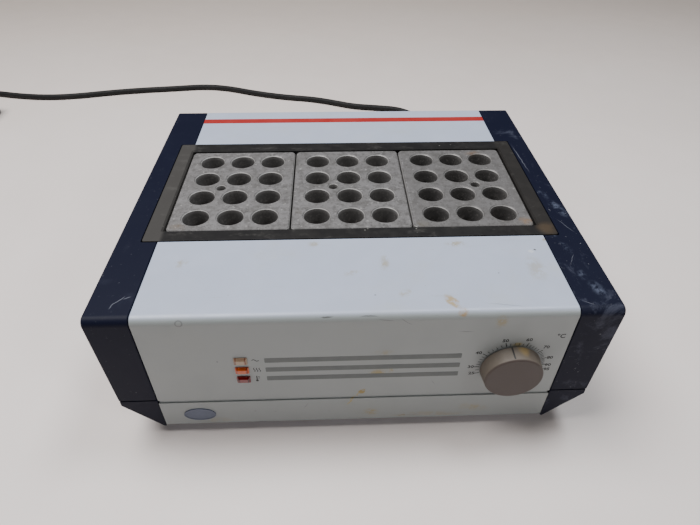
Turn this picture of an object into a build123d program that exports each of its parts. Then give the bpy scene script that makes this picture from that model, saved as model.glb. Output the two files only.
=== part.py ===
"""Three-block dry bath incubator: a pale housing with dark end mouldings and lift-out heating blocks.

Millimetres, +Z up. The origin is on the table, under the middle of the housing with its knob and
fuse cap. +X is to the right as seen from the front, and the front faces -Y.
"""
import math
import os

from build123d import *

os.makedirs("parts", exist_ok=True)

# Housing
housing_width = 233.8
housing_depth = 246.0
housing_top = 101.0
foot_height = 7.0
seam_low = 30.0
seam_gap = 2.8
cover_wall = 3.0
base_wall = 3.0
floor_thickness = 2.6
edge_radius = 4.5
edge_soft = 0.6
strip_inset = 0.8
lip_height = 5.0
lip_wall = 2.2
lip_clearance = 0.3

# End mouldings
cheek_width = 24.3
shadow_gap = 0.4
rebate = 3.0
cheek_skin = 2.6
cheek_side = 4.0
cheek_draft = 1.6
cheek_seam = 0.8
cheek_radius = 1.0
base_cheek_inset = 2.2
base_cheek_flat = 1.1
base_cheek_upright = 3.6
base_cheek_wall = 2.6
seam_clearance = 0.2

# Heating blocks
block_width = 76.0
block_depth = 97.7
block_height = 50.0
block_count = 3
block_gap = 1.3
block_drop = 0.8
block_corner = 3.0
block_edge = 0.6
well_radius = 8.5
well_depth = 45.0
well_rim = 0.8
well_pitch_x = 22.0
well_pitch_y = 23.2
well_columns = 3
well_rows = 4
extractor_radius = 3.3
extractor_rim = 0.7
extractor_depth = 20.0

# Bezel and the opening that holds it
chamber_centre = 125.4
chamber_gap = 1.0
bezel_side_band = 10.2
bezel_front_band = 10.35
bezel_thickness = 4.0
bezel_proud = 0.4
bezel_clearance = 0.7
bezel_corner = 1.5
bezel_bevel = 1.0
ledge_width = 6.0
ledge_thickness = 2.4

# Heater below the blocks
tray_wall = 2.0
tray_floor = 3.0
tray_head_gap = 0.3
mat_margin_x = 5.0
mat_margin_y = 10.4
mat_thickness = 1.5
clamp_thickness = 1.5
jacket_wall = 5.4
jacket_floor = 5.5
jacket_head_gap = 3.0
jacket_clearance = 0.3
pillar_radius = 3.5
pillar_from_side = 18.3
pillar_hole_clearance = 0.6
probe_radius = 2.0
probe_length = 34.0
probe_x = 34.0
probe_height = 16.0
cutout_radius = 8.0
cutout_height = 5.9
cutout_x = -38.0

# Front panel
knob_from_side = 29.4
knob_z = 57.3
knob_base_radius = 17.2
knob_face_radius = 16.3
knob_height = 8.6
knob_gap = 0.8
knob_edge = 1.2
knob_wall = 2.2
knob_hub_radius = 6.0
knob_hub_gap = 0.5
spindle_radius = 3.0
spindle_flat = 1.0
spindle_clearance = 0.05
spindle_bite = 4.2
pointer_width = 0.9
pointer_depth = 0.5
pointer_angle = 8.0
pot_radius = 12.0
pot_depth = 10.0
tag_width = 1.6
tag_length = 5.0
bush_radius = 4.7
bush_proud = 2.2
nut_across = 13.0
nut_height = 1.8
lamp_from_side = 52.9
lamp_heights = (67.6, 59.7, 51.6)
lamp_width = 7.6
lamp_height = 5.2
lamp_border = 0.6
lamp_flange = 0.7
lamp_crown = 1.0
lamp_body_depth = 16.0
panel_clearance = 0.2
badge_from_side = 22.4
badge_z = 18.5
badge_length = 19.0
badge_height = 11.3
badge_thickness = 0.6
badge_border = 0.7

# Rear panel
rocker_x = 10.0
rocker_z = 54.0
rocker_width = 19.0
rocker_arc = 12.6
rocker_body_depth = 18.0
rocker_rim = 3.0
rocker_rim_proud = 2.0
rocker_clearance = 0.4
rocker_tilt = 9.0
rocker_pivot_depth = 3.0
rocker_crest = 3.4
trunnion_radius = 1.5
trunnion_length = 1.6
trunnion_clearance = 0.05
fuse_from_side = 66.9
fuse_z = 50.0
fuse_body_radius = 6.2
fuse_body_depth = 34.0
fuse_flange_radius = 9.0
fuse_flange = 2.4
fuse_cap_radius = 6.6
fuse_cap_reach = 9.0
fuse_cap_plug = 8.0
fuse_cap_clearance = 0.06
fuse_bore_radius = 4.0
fuse_slot_width = 1.2
fuse_slot_depth = 1.2
fuse_link_radius = 2.5
fuse_link_length = 20.0
gland_from_side = 31.9
gland_z = 48.0
gland_flange_radius = 9.5
gland_flange = 3.0
gland_boot_length = 29.0
gland_boot_base = 7.0
gland_boot_tip = 4.9
gland_ring_count = 5
gland_thread_radius = 6.5
gland_thread_length = 10.0
gland_nut_across = 19.0
gland_nut_height = 4.0
vent_count = 9
vent_width = 3.0
vent_height = 26.0
vent_pitch = 7.0
vent_from_side = 40.9
vent_z = 58.0
floor_vent_count = 7
floor_vent_length = 46.0
floor_vent_pitch = 8.0
floor_vent_x = 40.0

# Electronics on the floor of the lower housing
board_length = 108.0
board_depth = 46.0
board_thickness = 1.6
board_height = 9.0
board_from_side = 22.9
board_from_front = 32.0
board_pillar_radius = 3.0
board_inset = 5.0
transformer_length = 34.0
transformer_depth = 32.0
transformer_height = 29.0
transformer_from_end = 24.0
winding_bulge = 4.0
relay_size = (22.0, 16.0, 16.0)
relay_from_end = 20.0
capacitor_radius = 5.0
capacitor_height = 14.0
capacitor_count = 3
capacitor_pitch = 12.0
capacitor_from_end = 38.0
chip_length = 18.0
chip_width = 7.0
chip_height = 3.4
connector_length = 24.0
connector_height = 9.0
sink_length = 46.0
sink_depth = 24.0
sink_base = 3.0
sink_fin_height = 19.0
sink_fin_count = 7
sink_fin_thickness = 1.6
sink_from_side = 58.9
sink_from_rear = 30.0
triac_width = 10.0
triac_length = 15.0
triac_thickness = 4.4
terminal_count = 5
terminal_pitch = 9.6
terminal_depth = 19.0
terminal_height = 14.0
terminal_from_side = 50.9
terminal_from_rear = 32.0
earth_x = 20.0
earth_from_rear = 26.0
earth_radius = 2.0
earth_height = 15.0

# Feet and screws
foot_from_side = 18.9
foot_from_edge = 22.0
foot_radius = 8.5
foot_taper = 1.2
foot_recess_radius = 4.6
foot_recess = 3.0
foot_boss_radius = 4.5
foot_boss_height = 7.0
foot_screw_radius = 2.0
foot_screw_length = 9.0
screw_clearance = 0.05
post_from_side = 10.9
post_from_edge = 11.5
post_radius = 4.5
post_split = 40.0
post_shelf = 31.0
post_screw_radius = 1.9
post_screw_bite = 14.0
pan_head_ratio = 1.75
pan_head_height = 2.2
pan_head_crown = 0.86
cheek_screw_radius = 1.5
cheek_screw_bite = 2.0
cheek_screw_from_edge = 40.0
cheek_screw_z = 62.0
base_cheek_screw_z = 20.0

# Mains lead: its own points, the put-away coil and the plug
cord_radius = 3.5
cord_points = [
    (85.0, 154.0, 48.0),
    (85.0, 177.0, 48.0),
    (86.0, 205.0, 37.5),
    (89.0, 235.0, 20.5),
    (94.0, 263.0, 7.0),
    (99.0, 287.0, 3.5),
    (98.0, 315.0, 3.5),
    (79.0, 337.0, 3.5),
    (50.0, 343.5, 3.5),
    (19.0, 348.5, 3.5),
    (-8.0, 361.5, 3.5),
    (-36.0, 373.0, 3.5),
    (-75.0, 380.5, 3.5),
    (-116.0, 394.5, 3.5),
    (-152.0, 411.5, 3.5),
    (-186.0, 418.5, 3.5),
    (-228.0, 412.5, 3.5),
    (-270.0, 408.0, 3.5),
    (-312.0, 400.5, 3.5),
    (-352.0, 390.0, 3.5),
    (-390.0, 386.0, 3.5),
    (-430.0, 391.5, 3.5),
    (-468.0, 401.0, 3.5),
    (-503.0, 404.5, 3.5),
    (-533.0, 403.5, 3.5),
]
coil_x = -535.0
coil_y = 366.0
coil_mid_radius = 38.5
coil_columns = 3
coil_layers = 2
coil_soft = 3.0
plug_x = -460.0
plug_width = 50.0
plug_length = 50.0
plug_thickness = 25.0
plug_corner = 9.0
plug_waist = 38.0
plug_neck_z = 12.0
plug_neck_reach = 21.0
plug_neck_base = 6.5
plug_neck_tip = 4.6
pin_thickness = 4.0
live_pin_width = 6.35
live_pin_length = 17.7
live_pin_pitch = 22.2
earth_pin_width = 8.0
earth_pin_length = 22.7
earth_pin_offset = 22.2

# Derived places
seam_high = seam_low + seam_gap
front_reach = knob_gap + knob_height
rear_reach = fuse_cap_reach + fuse_flange
front_y = (front_reach - rear_reach - housing_depth) / 2
rear_y = front_y + housing_depth
middle_y = (front_y + rear_y) / 2
half_housing = housing_width / 2
half_overall = half_housing + cheek_width
cover_end_x = half_overall - cheek_side - shadow_gap
knob_x = half_housing - knob_from_side
gland_x = half_housing - gland_from_side
fuse_x = half_housing - fuse_from_side
terminal_x = half_housing - terminal_from_side
lamp_x = lamp_from_side - half_housing
badge_x = badge_from_side - half_housing
vent_x = vent_from_side - half_housing
sink_x = sink_from_side - half_housing
foot_x = half_housing - foot_from_side
post_x = half_housing - post_from_side
chamber_y = front_y + chamber_centre
blocks_width = block_count * block_width + (block_count - 1) * block_gap
block_pitch = block_width + block_gap
block_top = housing_top - block_drop
block_low = block_top - block_height
chamber_width = blocks_width + 2 * chamber_gap
chamber_depth = block_depth + 2 * chamber_gap
bezel_width = chamber_width + 2 * bezel_side_band
bezel_depth = chamber_depth + 2 * bezel_front_band
bezel_low = housing_top + bezel_proud - bezel_thickness
opening_width = bezel_width + 2 * bezel_clearance
opening_depth = bezel_depth + 2 * bezel_clearance
ledge_low = bezel_low - ledge_thickness
tray_width = chamber_width + 2 * tray_wall
tray_depth = chamber_depth + 2 * tray_wall
tray_low = block_low - tray_floor
tray_high = bezel_low - tray_head_gap
mat_width = tray_width - 2 * mat_margin_x
mat_depth = tray_depth - 2 * mat_margin_y
mat_low = tray_low - mat_thickness
clamp_low = mat_low - clamp_thickness
jacket_low = clamp_low - jacket_floor
jacket_high = ledge_low - jacket_head_gap
floor_top = foot_height + floor_thickness
base_cheek_top = seam_high - seam_clearance
cheek_low = seam_high + cheek_seam
pillar_x = tray_width / 2 - pillar_from_side
pillar_y = mat_depth / 2 + pillar_radius + jacket_clearance
lip_low = seam_high
lip_inset = cover_wall + lip_clearance
stem_width = lamp_width - 2 * lamp_border
stem_height = lamp_height - 2 * lamp_border
board_x = board_from_side + board_length / 2 - half_housing
transformer_x = board_x + board_length / 2 - transformer_from_end
relay_x = board_x - board_length / 2 + relay_from_end
capacitor_x = board_x - board_length / 2 + capacitor_from_end
board_y = front_y + board_from_front
board_low = floor_top + board_height
board_top = board_low + board_thickness
sink_y = rear_y - sink_from_rear
terminal_y = rear_y - terminal_from_rear
foot_y = housing_depth / 2 - foot_from_edge
post_y = housing_depth / 2 - post_from_edge
corners = [(-1, -1), (-1, 1), (1, -1), (1, 1)]
feet = [(sx * foot_x, middle_y + sy * foot_y) for sx, sy in corners]
posts = [(sx * post_x, middle_y + sy * post_y) for sx, sy in corners]
pillars = [(sx * pillar_x, chamber_y + sy * pillar_y) for sx, sy in corners]
cheek_screw_ys = [front_y + cheek_screw_from_edge, rear_y - cheek_screw_from_edge]


def at_x(x):
    """Plane across the housing: local x is Y, local y is Z, outward is +X."""
    return Plane.YZ.offset(x)


def at_y(y):
    """Plane facing the front: local x is X, local y is Z, outward is -Y."""
    return Plane.XZ.offset(-y)


def at_z(z):
    """Plane level with the table."""
    return Plane.XY.offset(z)


def turned(x, y, z, outward):
    """Section through an axis along Y: local x is the radius, local y runs outward (-1 front, 1 rear)."""
    return Plane(origin=(x, y, z), x_dir=(1, 0, 0), z_dir=(0, 0, outward))


def upright(x, y, z=0.0):
    """Section through a vertical axis: local x is the radius, local y is the height."""
    return Plane(origin=(x, y, z), x_dir=(1, 0, 0), z_dir=(0, -1, 0))


def depth_outline(inset, low, radius):
    """Housing section across its depth in the open sketch: upright sides and rounded upper corners."""
    high = housing_top - inset
    width = housing_depth - 2 * inset
    with Locations((middle_y, (low + high) / 2)):
        Rectangle(width, high - low)
    if radius > 0:
        fillet(vertices().group_by(Axis.Y)[-1], radius)


def screw_profile(radius, length, head_height):
    """Half outline of a pan-head screw: the head's seat is at 0 and the shank runs up."""
    head = radius * pan_head_ratio
    return [
        (0, -head_height),
        (head * pan_head_crown, -head_height),
        (head, 0),
        (radius, 0),
        (radius, length),
        (0, length),
    ]


# Top cover: painted moulding with rebated ends, the opening for the bezel and a ledge round it
with BuildPart() as top_cover:
    with BuildSketch(at_x(-half_housing)):
        depth_outline(0, seam_high, edge_radius)
    extrude(amount=housing_width)
    fillet(top_cover.edges().group_by(Axis.X)[0] + top_cover.edges().group_by(Axis.X)[-1], edge_soft)
    with BuildSketch(at_x(-cover_end_x)):
        depth_outline(rebate, seam_high, edge_radius)
    extrude(amount=2 * cover_end_x)
    with BuildSketch(at_x(-half_housing + cover_wall)):
        depth_outline(cover_wall, 0, edge_radius - 1)
    extrude(amount=housing_width - 2 * cover_wall, mode=Mode.SUBTRACT)
    with BuildSketch(at_x(-cover_end_x + cover_wall)):
        depth_outline(rebate + cover_wall, 0, edge_radius - 1)
    extrude(amount=2 * (cover_end_x - cover_wall), mode=Mode.SUBTRACT)
    with BuildSketch(at_z(ledge_low)):
        with Locations((0, chamber_y)):
            Rectangle(opening_width + 2 * cover_wall, opening_depth + 2 * cover_wall)
    extrude(amount=housing_top - rebate - ledge_low)
    with BuildSketch(at_z(ledge_low)):
        with Locations((0, chamber_y)):
            Rectangle(housing_width - 2 * edge_soft, opening_depth + 2 * cover_wall)
    extrude(amount=housing_top - cover_wall / 2 - ledge_low)
    with BuildSketch(at_z(bezel_low)):
        with Locations((0, chamber_y)):
            RectangleRounded(opening_width, opening_depth, bezel_corner)
    extrude(amount=housing_top - bezel_low + 1, mode=Mode.SUBTRACT)
    with BuildSketch(at_z(ledge_low - 1)):
        with Locations((0, chamber_y)):
            Rectangle(opening_width - 2 * ledge_width, opening_depth - 2 * ledge_width)
    extrude(amount=bezel_low - ledge_low + 2, mode=Mode.SUBTRACT)
    with BuildSketch(at_z(post_split)):
        with Locations(*posts):
            Circle(post_radius)
    extrude(amount=housing_top - cover_wall / 2 - post_split)
    with BuildSketch(at_z(post_split)):
        with Locations(*posts):
            Circle(post_screw_radius + screw_clearance)
    extrude(amount=post_screw_bite + 1, mode=Mode.SUBTRACT)
    with BuildSketch(at_y(front_y)):
        with Locations((knob_x, knob_z)):
            Circle(bush_radius + panel_clearance)
        with Locations(*[(lamp_x, z) for z in lamp_heights]):
            Rectangle(stem_width + 2 * panel_clearance, stem_height + 2 * panel_clearance)
    extrude(amount=-cover_wall, mode=Mode.SUBTRACT)
    with BuildSketch(at_y(rear_y)):
        with Locations((fuse_x, fuse_z)):
            Circle(fuse_body_radius + panel_clearance)
        with Locations((gland_x, gland_z)):
            Circle(gland_thread_radius + panel_clearance)
        with Locations((rocker_x, rocker_z)):
            rocker_cut = 2 * (rocker_clearance + rocker_rim / 2 + panel_clearance)
            Rectangle(rocker_width + rocker_cut, 2 * rocker_arc + rocker_cut)
        with Locations((vent_x, vent_z)):
            with GridLocations(vent_pitch, 1, vent_count, 1):
                SlotOverall(vent_height, vent_width, rotation=90)
    extrude(amount=cover_wall, mode=Mode.SUBTRACT)
    with BuildSketch(at_x(-cover_end_x)):
        with Locations(*[(y, cheek_screw_z) for y in cheek_screw_ys]):
            Circle(cheek_screw_radius + screw_clearance)
    extrude(amount=2 * cover_end_x, mode=Mode.SUBTRACT)
top_cover.part.label = "top_cover"
export_step(top_cover.part, "parts/top_cover.step")

# Lower housing: open tray with a recessed seam strip, a lip inside the cover, posts, bosses and vents
with BuildPart() as base_tray:
    with BuildSketch(at_z(foot_height)):
        with Locations((0, middle_y)):
            Rectangle(housing_width, housing_depth)
    extrude(amount=seam_low - foot_height)
    fillet(base_tray.edges().filter_by(Axis.X).group_by(Axis.Z)[0], edge_radius / 2)
    with BuildSketch(at_z(seam_low)):
        with Locations((0, middle_y)):
            Rectangle(housing_width - 2 * strip_inset, housing_depth - 2 * strip_inset)
    extrude(amount=seam_gap)
    with BuildSketch(at_z(lip_low)):
        with Locations((0, middle_y)):
            Rectangle(housing_width - 2 * lip_inset, housing_depth - 2 * lip_inset)
    extrude(amount=lip_height)
    with BuildSketch(at_z(floor_top)):
        with Locations((0, middle_y)):
            Rectangle(housing_width - 2 * base_wall, housing_depth - 2 * base_wall)
    extrude(amount=seam_low - base_wall - floor_top, mode=Mode.SUBTRACT)
    with BuildSketch(at_z(floor_top)):
        with Locations((0, middle_y)):
            lip_inner = lip_inset + lip_wall
            Rectangle(housing_width - 2 * lip_inner, housing_depth - 2 * lip_inner)
    extrude(amount=lip_low + lip_height - floor_top, mode=Mode.SUBTRACT)
    with BuildSketch(at_z(floor_top - floor_thickness / 2)):
        with Locations(*posts):
            Circle(post_radius)
    extrude(amount=post_split - screw_clearance - floor_top + floor_thickness / 2)
    with BuildSketch(at_z(floor_top - floor_thickness / 2)):
        with Locations(*feet):
            Circle(foot_boss_radius)
    extrude(amount=foot_boss_height)
    with BuildSketch(at_z(foot_height)):
        with Locations(*posts):
            Circle(post_radius - 1)
    extrude(amount=post_shelf - foot_height, mode=Mode.SUBTRACT)
    with BuildSketch(at_z(foot_height)):
        with Locations(*posts):
            Circle(post_screw_radius + screw_clearance)
        with Locations(*feet):
            Circle(foot_screw_radius + screw_clearance)
    extrude(amount=post_split - foot_height, mode=Mode.SUBTRACT)
    with BuildSketch(at_z(foot_height)):
        with Locations(*pillars):
            Circle(foot_screw_radius + screw_clearance)
        with Locations((0, chamber_y)):
            with GridLocations(2 * floor_vent_x, floor_vent_pitch, 2, floor_vent_count):
                Rectangle(floor_vent_length, vent_width)
    extrude(amount=floor_thickness, mode=Mode.SUBTRACT)
    with BuildSketch(at_x(-half_housing)):
        with Locations(*[(y, base_cheek_screw_z) for y in cheek_screw_ys]):
            Circle(cheek_screw_radius + screw_clearance)
    extrude(amount=housing_width, mode=Mode.SUBTRACT)
base_tray.part.label = "base_tray"
export_step(base_tray.part, "parts/base_tray.step")

# End mouldings: an upper cap over each rebated end of the cover and a bevelled lower piece
for side, name in ((-1, "left"), (1, "right")):
    inner_x = half_housing + shadow_gap
    with BuildPart() as cheek:
        with BuildSketch(at_x(side * inner_x)):
            depth_outline(0, cheek_low, edge_radius)
        extrude(amount=side * (half_overall - inner_x))
        with BuildSketch(at_y(front_y - 1)):
            with BuildLine():
                Polyline(
                    (side * half_overall, housing_top),
                    (side * (half_overall + 1), housing_top),
                    (side * (half_overall + 1), cheek_low - 1),
                    (side * (half_overall - cheek_draft), cheek_low - 1),
                    close=True,
                )
            make_face()
        extrude(amount=-(housing_depth + 2), mode=Mode.SUBTRACT)
        outer_face = cheek.faces().sort_by(Axis.X)[-1 if side > 0 else 0]
        fillet(outer_face.edges().sort_by(Axis.Z)[1:], cheek_radius)
        inner_face = cheek.faces().filter_by(Axis.X).sort_by(Axis.X)[0 if side > 0 else -1]
        fillet(inner_face.edges().sort_by(Axis.Z)[1:], edge_soft)
        with BuildSketch(at_x(side * inner_x)):
            depth_outline(cheek_skin, 0, edge_radius - cheek_skin / 2)
        extrude(amount=side * (cover_end_x + shadow_gap - inner_x), mode=Mode.SUBTRACT)
        with BuildSketch(at_z(housing_top - rebate)):
            with Locations((0, chamber_y)):
                RectangleRounded(opening_width, opening_depth, bezel_corner)
        extrude(amount=rebate + 1, mode=Mode.SUBTRACT)
        with BuildSketch(at_x(side * (cover_end_x + shadow_gap))):
            with Locations(*[(y, cheek_screw_z) for y in cheek_screw_ys]):
                Circle(cheek_screw_radius + screw_clearance)
        extrude(amount=side * cheek_screw_bite, mode=Mode.SUBTRACT)
    cheek.part.label = f"{name}_cheek"
    export_step(cheek.part, f"parts/{name}_cheek.step")

    foot_x_outer = inner_x + base_cheek_flat
    side_x = half_overall - base_cheek_inset
    bevel_top = base_cheek_top - base_cheek_upright
    with BuildPart() as base_cheek:
        with BuildSketch(at_y(front_y)) as wedge:
            with BuildLine():
                Polyline(
                    (side * inner_x, foot_height),
                    (side * foot_x_outer, foot_height),
                    (side * side_x, bevel_top),
                    (side * side_x, base_cheek_top),
                    (side * inner_x, base_cheek_top),
                    close=True,
                )
            make_face()
        extrude(amount=-housing_depth)
        fillet(base_cheek.edges().filter_by(Axis.Y).sort_by(Axis.Z)[2], 2 * edge_soft)
        with BuildSketch(at_y(front_y + base_cheek_wall)):
            add(wedge.sketch_local)
            offset(amount=-base_cheek_wall, kind=Kind.INTERSECTION)
        extrude(amount=-(housing_depth - 2 * base_cheek_wall), mode=Mode.SUBTRACT)
        with BuildSketch(at_z(base_cheek_top - base_cheek_wall)):
            with Locations((side * (inner_x + side_x) / 2, middle_y)):
                Rectangle(side_x - inner_x - 2 * base_cheek_wall, housing_depth - 2 * base_cheek_wall)
        extrude(amount=base_cheek_wall, mode=Mode.SUBTRACT)
        with BuildSketch(at_x(side * inner_x)):
            with Locations(*[(y, base_cheek_screw_z) for y in cheek_screw_ys]):
                Circle(cheek_screw_radius + screw_clearance)
        extrude(amount=side * base_cheek_wall, mode=Mode.SUBTRACT)
    base_cheek.part.label = f"{name}_base_cheek"
    export_step(base_cheek.part, f"parts/{name}_base_cheek.step")

# Bezel: flat frame round the blocks, resting on the cover's ledge
with BuildPart() as bezel:
    with BuildSketch(at_z(bezel_low)):
        with Locations((0, chamber_y)):
            RectangleRounded(bezel_width, bezel_depth, bezel_corner)
            Rectangle(chamber_width, chamber_depth, mode=Mode.SUBTRACT)
    extrude(amount=bezel_thickness)
    top_face = bezel.faces().sort_by(Axis.Z)[-1]
    fillet(top_face.outer_wire().edges(), edge_soft)
    top_face = bezel.faces().filter_by(Axis.Z).sort_by(Axis.Z)[-1]
    chamfer(top_face.inner_wires()[0].edges(), bezel_bevel)
bezel.part.label = "bezel"
export_step(bezel.part, "parts/bezel.step")

# Heating blocks: four rows of three wells each and one threaded hole for the lifting tool
for index, name in enumerate(("left", "middle", "right")):
    block_x = (index - (block_count - 1) / 2) * block_pitch
    extractor_side = 1 if name == "right" else -1
    with BuildPart() as block:
        with BuildSketch(at_z(block_low)):
            with Locations((block_x, chamber_y)):
                RectangleRounded(block_width, block_depth, block_corner)
        extrude(amount=block_height)
        with BuildSketch(at_z(block_top)) as wells:
            with Locations((block_x, chamber_y)):
                with GridLocations(well_pitch_x, well_pitch_y, well_columns, well_rows):
                    Circle(well_radius)
        extrude(amount=-well_depth, mode=Mode.SUBTRACT)
        top_face = block.faces().sort_by(Axis.Z)[-1]
        chamfer(top_face.inner_wires().edges(), well_rim)
        with BuildSketch(at_z(block_top)):
            with Locations((block_x + extractor_side * well_pitch_x / 2, chamber_y)):
                Circle(extractor_radius)
        extrude(amount=-extractor_depth, mode=Mode.SUBTRACT)
        top_face = block.faces().sort_by(Axis.Z)[-1]
        rims = top_face.edges().filter_by(GeomType.CIRCLE)
        chamfer(rims.filter_by(lambda rim: abs(rim.radius - extractor_radius) < 0.01), extractor_rim)
        top_face = block.faces().sort_by(Axis.Z)[-1]
        chamfer(top_face.outer_wire().edges(), block_edge)
    block.part.label = f"block_{name}"
    export_step(block.part, f"parts/block_{name}.step")

# Tray that the blocks stand in, with its heater, clamp plate and fibre jacket
with BuildPart() as block_tray:
    with BuildSketch(at_z(tray_low)):
        with Locations((0, chamber_y)):
            Rectangle(tray_width, tray_depth)
    extrude(amount=tray_high - tray_low)
    with BuildSketch(at_z(block_low)):
        with Locations((0, chamber_y)):
            Rectangle(chamber_width, chamber_depth)
    extrude(amount=tray_high - block_low, mode=Mode.SUBTRACT)
block_tray.part.label = "block_tray"
export_step(block_tray.part, "parts/block_tray.step")

with BuildPart() as heater_mat:
    with BuildSketch(at_z(mat_low)):
        with Locations((0, chamber_y)):
            RectangleRounded(mat_width, mat_depth, block_corner)
    extrude(amount=mat_thickness)
heater_mat.part.label = "heater_mat"
export_step(heater_mat.part, "parts/heater_mat.step")

with BuildPart() as clamp_plate:
    with BuildSketch(at_z(clamp_low)):
        with Locations((0, chamber_y)):
            RectangleRounded(mat_width, mat_depth, block_corner)
            with GridLocations(block_pitch, 1, block_count, 1):
                SlotOverall(mat_depth / 2, vent_width, rotation=90, mode=Mode.SUBTRACT)
    extrude(amount=clamp_thickness)
clamp_plate.part.label = "clamp_plate"
export_step(clamp_plate.part, "parts/clamp_plate.step")

with BuildPart() as insulation_jacket:
    jacket_width = tray_width + 2 * (jacket_wall + jacket_clearance)
    jacket_depth = tray_depth + 2 * (jacket_wall + jacket_clearance)
    with BuildSketch(at_z(jacket_low)):
        with Locations((0, chamber_y)):
            RectangleRounded(jacket_width, jacket_depth, jacket_wall)
    extrude(amount=jacket_high - jacket_low)
    with BuildSketch(at_z(clamp_low)):
        with Locations((0, chamber_y)):
            Rectangle(tray_width + 2 * jacket_clearance, tray_depth + 2 * jacket_clearance)
    extrude(amount=jacket_high - clamp_low, mode=Mode.SUBTRACT)
    with BuildSketch(at_z(jacket_low)):
        with Locations(*pillars):
            Circle(pillar_radius + pillar_hole_clearance)
        with Locations((cutout_x, chamber_y)):
            Circle(cutout_radius + pillar_hole_clearance)
    extrude(amount=jacket_floor, mode=Mode.SUBTRACT)
    with BuildSketch(at_z(block_low + probe_height - probe_radius - jacket_clearance)):
        with Locations((probe_x, chamber_y - tray_depth / 2 - probe_radius)):
            Rectangle(probe_length + 2 * pillar_hole_clearance, 2 * probe_radius + 2 * pillar_hole_clearance)
    extrude(amount=2 * (probe_radius + jacket_clearance), mode=Mode.SUBTRACT)
insulation_jacket.part.label = "insulation_jacket"
export_step(insulation_jacket.part, "parts/insulation_jacket.step")

with BuildPart() as sensor_probe:
    with BuildSketch(at_x(probe_x - probe_length / 2)):
        with Locations((chamber_y - tray_depth / 2 - probe_radius, block_low + probe_height)):
            Circle(probe_radius)
    extrude(amount=probe_length)
    chamfer(sensor_probe.edges().sort_by(Axis.X)[-1], probe_radius / 4)
sensor_probe.part.label = "sensor_probe"
export_step(sensor_probe.part, "parts/sensor_probe.step")

with BuildPart() as thermal_cutout:
    with BuildSketch(at_z(clamp_low)):
        with Locations((cutout_x, chamber_y)):
            Circle(cutout_radius)
    extrude(amount=-cutout_height)
    with BuildSketch(at_z(clamp_low - cutout_height)):
        with Locations((cutout_x, chamber_y)):
            with GridLocations(cutout_radius, 1, 2, 1):
                Rectangle(0.8, 6.3)
    extrude(amount=-cutout_height)
thermal_cutout.part.label = "thermal_cutout"
export_step(thermal_cutout.part, "parts/thermal_cutout.step")

with BuildPart() as tray_pillars:
    with BuildSketch(at_z(floor_top)):
        with Locations(*pillars):
            Circle(pillar_radius)
    extrude(amount=tray_low - floor_top)
    with BuildSketch(at_z(floor_top)):
        with Locations(*pillars):
            Circle(foot_screw_radius + screw_clearance)
    extrude(amount=foot_screw_length, mode=Mode.SUBTRACT)
tray_pillars.part.label = "tray_pillars"
export_step(tray_pillars.part, "parts/tray_pillars.step")

# Knob with its pointer line and spindle, and the control behind the panel
knob_axis = Axis((knob_x, front_y, knob_z), (0, -1, 0))
knob_section = turned(knob_x, front_y, knob_z, -1)
hub_low = bush_proud + knob_hub_gap
knob_face = knob_gap + knob_height
lean = math.radians(pointer_angle)
pointer_plane = Plane(
    origin=(knob_x, front_y, knob_z),
    x_dir=(-math.sin(lean), 0, math.cos(lean)),
    z_dir=(math.cos(lean), 0, math.sin(lean)),
)


def spindle_outline(clearance):
    """Round with one flat, in the open sketch."""
    radius = spindle_radius + clearance
    with Locations((knob_x, knob_z)):
        Circle(radius)
    with Locations((knob_x + radius - spindle_flat / 2, knob_z)):
        Rectangle(spindle_flat, 2 * radius, mode=Mode.SUBTRACT)


side_slope = (knob_base_radius - knob_face_radius) / knob_height
pointer_run = knob_height - knob_edge
pointer_outline = [
    (knob_base_radius - pointer_depth, knob_gap),
    (knob_base_radius, knob_gap),
    (knob_base_radius - side_slope * pointer_run, knob_gap + pointer_run),
    (knob_base_radius - side_slope * pointer_run - pointer_depth, knob_gap + pointer_run),
]

with BuildPart() as knob:
    with BuildSketch(knob_section):
        with BuildLine():
            Polyline(
                (0, hub_low),
                (knob_hub_radius, hub_low),
                (knob_hub_radius, knob_face - knob_wall),
                (knob_face_radius - knob_wall, knob_face - knob_wall),
                (knob_base_radius - knob_wall, knob_gap),
                (knob_base_radius, knob_gap),
                (knob_face_radius, knob_face),
                (0, knob_face),
                close=True,
            )
        make_face()
    revolve(axis=knob_axis)
    fillet(knob.edges().group_by(Axis.Y)[0], knob_edge)
    with BuildSketch(at_y(front_y - hub_low)):
        spindle_outline(spindle_clearance)
    extrude(amount=spindle_bite, mode=Mode.SUBTRACT)
    with BuildSketch(pointer_plane):
        with BuildLine():
            Polyline(*pointer_outline, close=True)
        make_face()
    extrude(amount=pointer_width / 2, both=True, mode=Mode.SUBTRACT)
knob.part.label = "knob"
export_step(knob.part, "parts/knob.step")

with BuildPart() as knob_pointer:
    with BuildSketch(pointer_plane):
        with BuildLine():
            Polyline(*pointer_outline, close=True)
        make_face()
    extrude(amount=pointer_width / 2, both=True)
knob_pointer.part.label = "knob_pointer"
export_step(knob_pointer.part, "parts/knob_pointer.step")

spindle_end = front_y - hub_low - spindle_bite + spindle_clearance
spindle_root = front_y + cover_wall + pot_depth * 0.6
with BuildPart() as knob_spindle:
    with BuildSketch(at_y(spindle_root)):
        with Locations((knob_x, knob_z)):
            Circle(spindle_radius)
    extrude(amount=spindle_root - front_y + bush_proud)
    with BuildSketch(at_y(front_y - bush_proud)):
        spindle_outline(0)
    extrude(amount=front_y - bush_proud - spindle_end)
knob_spindle.part.label = "knob_spindle"
export_step(knob_spindle.part, "parts/knob_spindle.step")

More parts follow.
